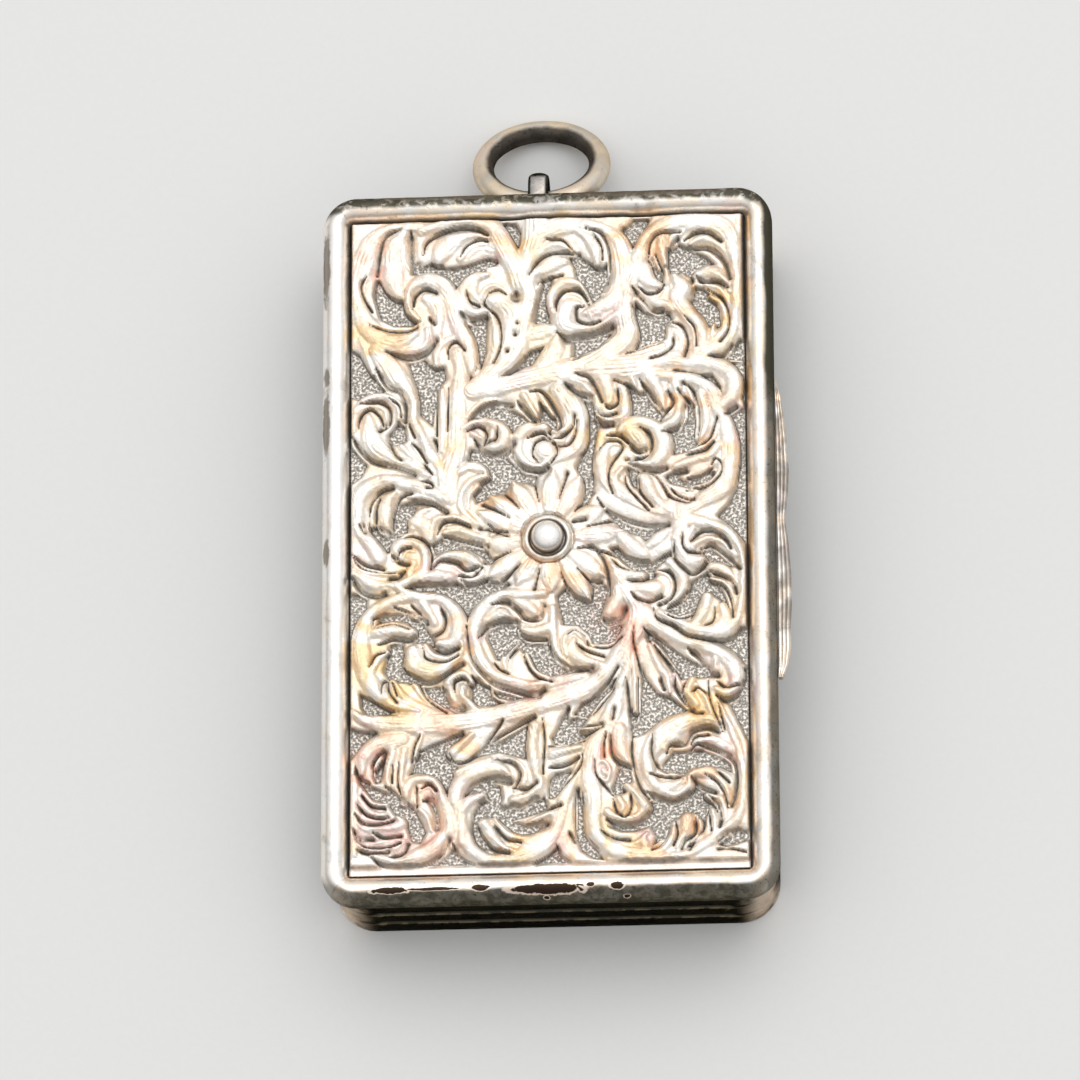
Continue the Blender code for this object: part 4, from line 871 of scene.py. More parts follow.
# Warm stains: places and how far they spread, in squares
GOLD_PLACES = (
    (0.6, 6.6, 1.3), (3.0, 6.5, 0.8), (1.2, 22.0, 1.0), (1.0, 24.0, 1.0), (4.8, 23.6, 1.0),
    (2.6, 26.0, 1.0), (5.5, 20.8, 0.8), (17.0, 27.4, 1.5), (18.5, 30.0, 1.2), (14.5, 33.6, 1.5),
    (12.0, 34.0, 1.2), (16.6, 32.6, 1.0), (17.0, 9.5, 1.2), (19.0, 12.5, 1.5), (18.4, 25.5, 0.9),
    (13.2, 11.4, 1.2), (9.4, 19.2, 1.0), (11.6, 19.2, 1.0), (7.4, 15.4, 0.8), (4.5, 13.0, 1.0),
    (8.0, 1.6, 1.0), (13.5, 1.6, 1.0), (17.2, 4.6, 1.0), (18.7, 5.4, 1.0), (5.0, 18.2, 0.8),
    (3.0, 18.6, 0.8), (8.0, 33.6, 1.2), (1.5, 33.0, 1.0), (6.0, 28.4, 1.0), (15.4, 1.4, 0.9),
)
PINK_PLACES = (
    (13.7, 21.6, 1.3), (1.0, 28.2, 1.3), (0.6, 30.2, 1.0), (4.0, 33.2, 1.3), (3.8, 31.0, 0.8),
    (11.0, 25.5, 1.0), (5.0, 27.0, 1.0), (14.4, 23.0, 0.9), (1.4, 2.4, 1.0), (10.8, 33.4, 1.0),
    (12.8, 29.0, 1.0), (8.6, 25.8, 1.0),
)

# Leaves: each is its height as a share of the relief, then places across and down and the
# breadth there, in steps
LEAF_STROKES = (
    # top left
    (0.9, (72, 7, 10), (44, 9, 12), (24, 22, 20), (13, 46, 22), (7, 76, 16), (11, 102, 18), (26, 124, 20),
     (48, 132, 18), (67, 124, 8)),
    (0.85, (54, 14, 10), (43, 32, 20), (43, 56, 22), (48, 76, 14), (52, 83, 6)),
    (0.7, (68, 10, 6), (69, 26, 10), (70, 38, 6)),
    (0.75, (56, 20, 4), (55, 40, 6), (60, 54, 3)),
    (0.9, (140, 20, 6), (118, 19, 10), (98, 30, 22), (90, 42, 12)),
    (0.6, (84, 32, 6), (92, 26, 6), (112, 20, 4)),
    (0.95, (72, 12, 10), (92, 7, 10), (120, 3, 8), (144, 11, 16), (158, 34, 18), (170, 58, 20),
     (178, 84, 24)),
    (0.8, (112, 43, 8), (120, 32, 10), (134, 26, 10), (150, 32, 10), (162, 52, 8)),
    (0.7, (120, 42, 4), (130, 34, 5), (144, 35, 6), (158, 48, 4)),
    (0.65, (140, 55, 4), (152, 55, 5), (162, 66, 4)),
    (0.7, (138, 64, 4), (150, 66, 6), (160, 78, 4)),
    (0.95, (124, 164, 12), (118, 136, 16), (110, 108, 20), (104, 88, 20), (92, 72, 18), (78, 66, 14),
     (64, 72, 10), (59, 86, 8), (62, 100, 7), (70, 109, 4)),
    (0.9, (78, 86, 12), (86, 90, 18), (90, 104, 14), (88, 120, 12), (90, 134, 8)),
    (0.8, (24, 138, 8), (64, 142, 10), (78, 134, 8), (78, 120, 6)),
    (0.7, (68, 118, 3), (69, 130, 4), (60, 140, 3)),
    (0.7, (10, 128, 6), (24, 166, 4)),
    (0.9, (24, 142, 10), (38, 158, 22), (48, 176, 22), (62, 196, 12), (64, 218, 10), (74, 238, 10),
     (80, 260, 8)),
    (0.9, (140, 62, 6), (124, 66, 12), (115, 80, 12), (117, 96, 12), (128, 104, 10), (140, 99, 8)),
    (0.85, (128, 66, 8), (125, 80, 10), (132, 92, 6)),
    (0.8, (132, 92, 4), (136, 79, 5), (148, 74, 5), (160, 82, 4)),
    (0.95, (144, 90, 12), (154, 90, 20), (168, 104, 28), (166, 128, 30), (160, 148, 26), (146, 166, 18),
     (132, 180, 16)),
    (0.9, (190, 4, 24), (188, 26, 22), (180, 52, 18), (178, 80, 20), (176, 104, 20)),
    (0.8, (176, 126, 4), (194, 74, 4)),
    (0.8, (176, 130, 10), (192, 126, 16), (204, 124, 12)),
    (0.75, (144, 106, 6), (148, 124, 8), (147, 144, 8), (142, 160, 6)),
    (0.8, (88, 158, 6), (88, 144, 8), (96, 134, 8), (108, 130, 8), (116, 140, 8)),
    (0.85, (108, 146, 12), (112, 166, 12), (110, 190, 16), (109, 220, 18), (108, 250, 20), (100, 280, 22),
     (100, 304, 16)),
    # top middle
    (0.95, (192, 20, 20), (216, 10, 20), (244, 12, 14), (268, 28, 20), (276, 52, 22), (276, 76, 22),
     (266, 94, 18), (238, 108, 6)),
    (0.8, (186, 50, 6), (202, 32, 10), (218, 32, 8), (230, 40, 4)),
    (0.9, (234, 18, 8), (244, 26, 12), (251, 40, 12), (252, 53, 6)),
    (0.7, (248, 18, 5), (260, 30, 6), (262, 50, 4)),
    (0.85, (188, 60, 12), (204, 52, 16), (218, 50, 10)),
    (0.8, (207, 104, 8), (206, 86, 10), (218, 72, 10), (234, 76, 6), (244, 94, 4)),
    (0.75, (211, 98, 4), (220, 85, 5), (234, 88, 5), (240, 98, 3)),
    (0.95, (232, 98, 8), (220, 102, 20), (220, 120, 18), (240, 124, 10), (260, 118, 10), (278, 104, 10)),
    (0.85, (254, 108, 6), (244, 106, 10), (246, 114, 4)),
    (0.8, (256, 87, 3), (266, 85, 6), (274, 80, 4)),
    (0.95, (290, 46, 8), (288, 64, 16), (280, 90, 16), (278, 112, 18), (280, 132, 20), (266, 148, 20),
     (244, 164, 24), (216, 172, 24)),
    (0.85, (212, 132, 10), (208, 146, 18), (198, 162, 18), (184, 178, 16)),
    # top right
    (0.95, (292, 68, 12), (296, 44, 14), (306, 24, 14), (328, 12, 18), (356, 11, 20), (380, 20, 22),
     (390, 44, 14), (392, 72, 10), (392, 100, 10), (388, 124, 14), (376, 144, 20), (358, 154, 16),
     (340, 160, 16)),
    (0.85, (324, 19, 6), (317, 30, 10), (321, 56, 4)),
    (0.65, (308, 30, 4), (307, 46, 6), (314, 60, 3)),
    (0.9, (338, 20, 8), (330, 26, 10), (326, 36, 4)),
    (0.85, (346, 35, 4), (360, 28, 10), (376, 36, 10), (386, 54, 6)),
    (0.9, (355, 68, 10), (366, 66, 12), (380, 74, 8), (386, 88, 4)),
    (0.75, (364, 60, 4), (376, 64, 5), (385, 76, 3)),
    (0.75, (360, 78, 4), (376, 84, 6), (384, 100, 6), (386, 120, 4)),
    (0.7, (366, 92, 4), (378, 100, 5), (382, 118, 5), (376, 138, 6)),
    (0.8, (366, 144, 8), (370, 120, 2)),
    (0.8, (376, 144, 8), (380, 118, 2)),
    (0.8, (290, 82, 6), (300, 92, 7), (314, 90, 6), (319, 80, 3)),
    (0.9, (300, 58, 10), (302, 72, 14), (314, 79, 8)),
    (0.85, (292, 92, 6), (304, 98, 10), (318, 99, 10), (328, 104, 8)),
    (0.95, (330, 70, 8), (337, 82, 16), (334, 96, 16), (354, 128, 14), (356, 148, 16)),
    (0.7, (327, 68, 4), (326, 92, 5)),
    (0.8, (326, 122, 4), (336, 126, 6), (340, 140, 6), (336, 154, 6)),
    (0.8, (331, 136, 6), (330, 148, 10), (316, 156, 8)),
    (0.8, (318, 144, 6), (304, 147, 8), (272, 158, 4)),
    # cross stem
    (0.95, (124, 188, 18), (144, 184, 20), (172, 178, 20), (210, 170, 22), (250, 168, 24), (290, 166, 24),
     (320, 158, 20), (348, 162, 16), (372, 166, 14), (388, 180, 14), (388, 198, 14), (378, 210, 12)),
    (0.9, (304, 174, 12), (328, 178, 10), (352, 184, 12), (366, 196, 14), (372, 214, 14), (380, 232, 14),
     (384, 256, 16), (382, 280, 16), (374, 300, 18), (356, 312, 16), (334, 320, 18), (308, 318, 16),
     (284, 306, 16), (264, 292, 16), (256, 272, 16), (258, 254, 10)),
    # left upper
    (0.85, (4, 208, 8), (18, 195, 10), (36, 192, 8), (50, 202, 8), (50, 216, 6)),
    (0.8, (4, 226, 10), (7, 210, 8), (22, 201, 6), (36, 206, 7), (38, 222, 4)),
    (0.9, (18, 214, 10), (24, 244, 22), (40, 258, 18), (60, 268, 14), (80, 278, 8)),
    (0.8, (52, 246, 6), (74, 268, 6)),
    (0.8, (64, 246, 4), (84, 274, 4)),
    (0.8, (68, 226, 8), (76, 242, 8), (88, 264, 10), (96, 284, 12)),
    (0.75, (94, 186, 6), (95, 210, 10), (93, 252, 6)),
    # left middle
    (0.95, (98, 306, 10), (80, 294, 14), (56, 286, 14), (32, 284, 14), (12, 296, 16), (7, 318, 14),
     (12, 338, 12), (24, 354, 14), (30, 366, 14)),
    (0.85, (46, 296, 6), (36, 308, 14), (36, 334, 10)),
    (0.7, (26, 298, 4), (22, 312, 5), (23, 330, 4)),
    (0.85, (60, 299, 6), (78, 302, 10), (98, 314, 8)),
    (0.8, (64, 334, 8), (72, 318, 8), (88, 314, 6), (98, 320, 6)),
    (0.9, (66, 328, 12), (76, 332, 16), (80, 346, 10)),
    (0.85, (2, 366, 8), (16, 379, 8), (48, 384, 4)),
    (0.85, (4, 382, 8), (20, 392, 12), (38, 396, 10), (56, 392, 6)),
    (0.9, (46, 366, 8), (50, 352, 12), (64, 350, 10), (76, 360, 10), (76, 378, 10), (62, 390, 10),
     (48, 396, 6)),
    (0.8, (53, 368, 3), (58, 359, 4), (66, 360, 4)),
    (0.85, (64, 372, 10), (60, 384, 6)),
    (0.9, (82, 344, 8), (84, 332, 10), (92, 324, 8), (108, 325, 8), (122, 332, 6)),
    (0.85, (96, 340, 6), (112, 339, 8), (148, 352, 8)),
    (0.8, (98, 335, 3), (110, 334, 4), (124, 340, 4)),
    (0.85, (138, 280, 6), (122, 286, 8), (113, 300, 8), (115, 318, 8), (138, 342, 8)),
    (0.75, (130, 290, 4), (121, 300, 5), (120, 314, 4)),
    (0.9, (86, 372, 6), (100, 366, 10), (118, 368, 12), (130, 378, 10), (132, 388, 8), (116, 392, 6)),
    (0.95, (70, 390, 8), (86, 386, 12), (102, 388, 10)),
    (0.75, (90, 376, 3), (104, 376, 5), (116, 384, 4)),
    # middle upper
    (0.9, (114, 228, 8), (128, 223, 8), (144, 224, 10), (156, 234, 12), (154, 246, 12), (144, 251, 10),
     (134, 250, 4)),
    (0.8, (124, 234, 8), (134, 240, 4)),
    (0.8, (144, 232, 7), (144, 244, 6)),
    (0.9, (196, 230, 10), (180, 230, 12), (170, 242, 12), (170, 258, 12), (182, 270, 8), (198, 271, 6)),
    (0.95, (197, 254, 20), (200, 256, 20)),
    (0.75, (184, 258, 4), (186, 242, 5), (200, 238, 4)),
    (0.95, (212, 190, 18), (226, 210, 20), (230, 232, 18), (224, 252, 18), (196, 270, 6)),
    (0.85, (215, 204, 6), (220, 220, 12), (218, 232, 8), (206, 234, 4)),
    (0.8, (204, 243, 4), (216, 244, 6), (226, 236, 4)),
    (0.85, (176, 194, 8), (188, 216, 6)),
    (0.8, (192, 192, 6), (206, 216, 4)),
    (0.85, (110, 276, 8), (120, 270, 10), (132, 272, 10), (138, 276, 4)),
    (0.8, (118, 218, 6), (132, 202, 6), (148, 198, 4)),
    (0.9, (224, 180, 6), (236, 184, 10), (244, 194, 8)),
    (0.9, (258, 178, 14), (262, 192, 14), (262, 204, 10)),
    (0.9, (274, 184, 10), (278, 200, 10), (278, 216, 10), (266, 224, 8), (252, 220, 6)),
    (0.75, (250, 212, 4), (260, 220, 5), (272, 216, 5), (274, 202, 3)),
    (0.9, (286, 178, 8), (291, 192, 3)),
    (0.9, (304, 178, 12), (314, 196, 12), (316, 210, 8)),
    (0.8, (324, 188, 6), (330, 204, 6), (324, 218, 4)),
    (0.95, (330, 184, 10), (335, 206, 10), (332, 224, 12), (318, 232, 8)),
    (0.95, (272, 238, 6), (282, 228, 12), (300, 228, 12), (314, 240, 16), (316, 258, 16), (306, 272, 12),
     (292, 272, 8), (282, 266, 6)),
    (0.95, (284, 236, 14), (292, 244, 20), (296, 252, 12)),
    (0.75, (284, 258, 4), (294, 263, 5), (304, 258, 4)),
    (0.85, (276, 250, 6), (264, 248, 10), (256, 260, 10)),
    (0.8, (260, 243, 5), (272, 243, 4), (282, 252, 4)),
    (0.85, (275, 276, 6), (268, 288, 8), (272, 304, 8)),
    (0.95, (298, 286, 12), (302, 300, 14), (312, 314, 10), (324, 324, 6)),
    (0.8, (280, 286, 4), (284, 300, 6), (296, 314, 6)),
    (0.8, (296, 281, 4), (310, 286, 5), (330, 310, 6), (346, 312, 4)),
    (0.9, (354, 198, 10), (359, 218, 12), (358, 234, 12), (354, 244, 8)),
    (0.8, (344, 188, 8), (347, 208, 3)),
    (0.85, (372, 226, 6), (369, 244, 6), (358, 255, 6), (344, 260, 4)),
    (0.9, (372, 254, 10), (364, 264, 10), (352, 267, 10), (330, 276, 8)),
    (0.85, (367, 278, 6), (372, 270, 7), (376, 278, 6), (366, 294, 6), (346, 300, 5)),
    # right middle
    (0.95, (332, 316, 22), (334, 348, 16), (338, 364, 12)),
    (0.9, (328, 352, 8), (336, 372, 14), (348, 378, 14), (356, 376, 6)),
    (0.95, (340, 332, 14), (360, 338, 12), (380, 348, 12), (392, 364, 8), (396, 380, 6), (395, 408, 8),
     (392, 432, 8), (382, 448, 14), (368, 454, 14), (344, 450, 14), (312, 432, 8)),
    (0.85, (346, 360, 6), (360, 354, 7), (378, 358, 7), (388, 372, 6)),
    (0.9, (346, 344, 8), (340, 356, 10), (346, 364, 6)),
    (0.85, (364, 384, 10), (378, 388, 10), (388, 402, 6)),
    (0.75, (364, 396, 3), (378, 402, 6), (386, 418, 6), (386, 436, 6)),
    (0.9, (360, 416, 10), (356, 430, 12), (348, 444, 10)),
    (0.9, (375, 426, 8), (378, 440, 12), (368, 450, 10)),
    (0.9, (324, 378, 10), (334, 392, 12), (334, 410, 10), (322, 420, 6)),
    (0.8, (310, 388, 4), (322, 392, 6), (326, 404, 5), (318, 418, 5), (304, 420, 4)),
    (0.95, (284, 404, 10), (308, 406, 16)),
    (0.9, (276, 350, 12), (286, 362, 16), (298, 370, 10)),
    (0.85, (302, 360, 8), (312, 352, 12), (322, 344, 8)),
    (0.9, (264, 380, 8), (274, 388, 12), (294, 392, 10)),
    (0.9, (270, 404, 10), (268, 420, 14), (262, 430, 12)),
    # lower stem
    (0.95, (268, 390, 12), (288, 420, 20), (290, 440, 20), (278, 464, 18), (260, 492, 16), (236, 510, 18),
     (200, 522, 20), (160, 534, 18), (120, 540, 22), (80, 542, 24), (44, 542, 18), (16, 538, 10),
     (2, 528, 6)),
    (0.95, (290, 426, 18), (312, 446, 16), (340, 462, 14), (368, 474, 12), (384, 488, 14), (388, 506, 12),
     (378, 518, 10), (368, 514, 6)),
    (0.9, (280, 456, 12), (280, 484, 10), (272, 512, 12), (264, 536, 16), (246, 572, 18), (242, 600, 18),
     (244, 630, 18), (244, 656, 16), (256, 674, 16), (280, 684, 14), (304, 684, 12), (322, 670, 10)),
    (0.85, (286, 472, 6), (288, 534, 6)),
    # left lower
    (0.95, (48, 398, 6), (68, 408, 10), (92, 412, 10), (106, 426, 14), (110, 444, 14), (104, 458, 12),
     (90, 458, 6)),
    (0.95, (60, 408, 10), (38, 414, 12), (20, 430, 14), (12, 452, 16), (14, 476, 18), (20, 496, 16),
     (34, 512, 14), (52, 524, 10), (70, 530, 6)),
    (0.8, (40, 418, 4), (54, 420, 5), (68, 428, 6)),
    (0.9, (24, 446, 10), (44, 442, 12), (62, 446, 10)),
    (0.9, (74, 414, 10), (86, 436, 8)),
    (0.9, (64, 466, 12), (68, 480, 18), (84, 486, 16), (100, 480, 12), (112, 468, 8), (114, 458, 4)),
    (0.8, (76, 460, 5), (84, 470, 6), (100, 474, 6), (112, 466, 4)),
    (0.85, (24, 486, 6), (28, 474, 8), (38, 466, 4)),
    (0.85, (44, 498, 6), (52, 512, 10), (68, 524, 10), (92, 534, 8)),
    (0.8, (34, 500, 4), (38, 512, 4)),
    (0.8, (66, 502, 6), (76, 516, 6), (92, 528, 6)),
    (0.9, (104, 524, 6), (99, 508, 8), (102, 496, 8), (114, 491, 7), (122, 500, 6)),
    (0.9, (114, 506, 8), (114, 516, 8), (132, 534, 6)),
    # middle lower
    (0.95, (196, 408, 8), (154, 410, 12), (134, 424, 14), (126, 444, 14), (126, 466, 16), (136, 488, 18),
     (158, 500, 14), (184, 506, 10), (212, 502, 12), (236, 496, 10)),
    (0.9, (140, 436, 8), (152, 428, 12), (162, 432, 6)),
    (0.9, (166, 416, 8), (180, 422, 12), (188, 428, 8)),
    (0.8, (194, 416, 4), (196, 430, 6), (186, 439, 5), (174, 436, 4)),
    (0.9, (174, 446, 8), (186, 448, 10), (202, 444, 10)),
    (0.8, (168, 458, 4), (160, 466, 6), (156, 478, 6), (158, 490, 4)),
    (0.85, (218, 474, 6), (216, 458, 6), (226, 448, 7), (236, 456, 6)),
    (0.9, (226, 458, 6), (224, 470, 14), (238, 482, 12), (254, 486, 8)),
    (0.9, (204, 424, 8), (208, 470, 8), (220, 484, 6)),
    (0.75, (178, 472, 4), (186, 490, 5), (200, 498, 5)),
    (0.85, (232, 554, 4), (246, 552, 6), (256, 546, 4)),
    # right lower
    (0.8, (302, 466, 6), (310, 486, 8), (318, 500, 8), (322, 516, 4)),
    (0.8, (306, 460, 4), (332, 492, 4)),
    (0.8, (326, 498, 6), (342, 532, 6)),
    (0.9, (344, 504, 8), (340, 516, 10), (348, 530, 8)),
    (0.85, (348, 510, 6), (358, 524, 8), (372, 558, 6)),
    (0.85, (370, 530, 6), (386, 566, 8), (392, 590, 8), (393, 620, 8), (390, 644, 10), (380, 658, 12),
     (346, 682, 10), (324, 688, 8), (290, 692, 8)),
    (0.9, (367, 482, 6), (368, 494, 8)),
    (0.95, (368, 548, 12), (344, 546, 16), (320, 558, 22), (302, 578, 16), (300, 600, 12), (312, 620, 10),
     (328, 625, 8), (340, 616, 8), (342, 604, 6)),
    (0.9, (324, 562, 18), (316, 574, 10)),
    (0.85, (348, 570, 10), (364, 568, 12), (380, 578, 12)),
    (0.85, (308, 613, 8), (322, 615, 10), (332, 610, 6)),
    (0.9, (346, 602, 8), (360, 602, 12), (374, 614, 10), (380, 630, 8)),
    (0.75, (368, 600, 4), (380, 608, 5), (384, 624, 4)),
    (0.85, (358, 626, 6), (372, 632, 10), (374, 648, 8)),
    (0.85, (363, 642, 6), (366, 656, 8), (364, 664, 4)),
    (0.85, (338, 650, 12), (337, 664, 12), (330, 678, 10)),
    (0.8, (323, 658, 6), (324, 672, 6)),
    (0.8, (350, 652, 4), (350, 664, 6), (342, 674, 4)),
    # bottom right
    (0.9, (270, 628, 8), (274, 636, 8), (270, 642, 4)),
    (0.95, (278, 614, 6), (288, 624, 10), (296, 638, 10), (286, 648, 8), (268, 648, 8), (258, 640, 8)),
    (0.8, (252, 660, 6), (270, 672, 6), (286, 674, 6), (298, 664, 4)),
    (0.85, (294, 672, 10), (296, 678, 8)),
    (0.9, (270, 554, 14), (270, 572, 16), (280, 588, 8)),
    (0.85, (248, 590, 4), (255, 587, 4), (261, 596, 4), (258, 608, 4), (250, 604, 4)),
    (0.85, (254, 596, 6), (256, 599, 6)),
    (0.9, (232, 572, 6), (202, 578, 12)),
    (0.85, (236, 580, 6), (216, 624, 12), (204, 660, 16), (188, 676, 18), (164, 686, 14), (140, 688, 12),
     (122, 676, 12), (114, 658, 12)),
    # bottom left
    (0.95, (186, 548, 10), (184, 568, 10), (186, 588, 10), (190, 608, 10), (182, 622, 10), (164, 626, 8)),
    (0.85, (148, 582, 4), (164, 584, 5), (175, 596, 8), (174, 610, 8), (166, 616, 4)),
    (0.95, (106, 626, 12), (110, 610, 14), (122, 598, 14), (140, 592, 16), (154, 594, 10), (160, 600, 6)),
    (0.85, (108, 596, 6), (122, 589, 6), (142, 583, 6)),
    (0.9, (112, 638, 10), (120, 626, 10), (134, 620, 6)),
    (0.95, (92, 618, 8), (100, 654, 18), (90, 672, 18), (68, 684, 16), (44, 688, 12), (24, 680, 8)),
    (0.9, (110, 632, 14), (114, 668, 10)),
    (0.9, (56, 624, 8), (58, 610, 10), (68, 602, 8), (84, 604, 8), (92, 618, 8), (94, 632, 6)),
    (0.8, (67, 626, 4), (70, 614, 5), (82, 610, 5), (86, 620, 4)),
    (0.8, (70, 632, 4), (78, 640, 6), (84, 656, 5)),
    (0.9, (52, 558, 16), (26, 566, 16), (14, 580, 12), (13, 594, 6)),
    (0.85, (44, 572, 10), (39, 592, 8), (40, 610, 6)),
    (0.85, (56, 570, 8), (52, 590, 8), (52, 608, 6)),
    (0.85, (32, 576, 6), (26, 588, 4)),
    (0.9, (72, 554, 8), (66, 578, 3)),
    (0.75, (14, 614, 4), (24, 626, 5), (38, 628, 4)),
    (0.85, (10, 620, 6), (22, 636, 8), (38, 639, 5)),
    (0.85, (5, 632, 8), (16, 650, 10), (36, 652, 8), (52, 648, 10), (48, 641, 4)),
    (0.8, (6, 658, 6), (24, 668, 6), (40, 664, 6), (54, 666, 4)),
    (0.85, (8, 668, 6), (28, 676, 8), (46, 674, 8), (56, 666, 4)),
    (0.8, (6, 598, 8), (5, 620, 8), (4, 648, 6), (6, 680, 8)),
    (0.9, (104, 574, 10), (124, 556, 6)),
    (0.9, (136, 650, 10), (142, 662, 12), (154, 676, 8), (166, 680, 6)),
    (0.85, (146, 646, 5), (158, 662, 8), (178, 670, 12), (196, 664, 12)),
    (0.85, (178, 650, 4), (204, 640, 6)),
)
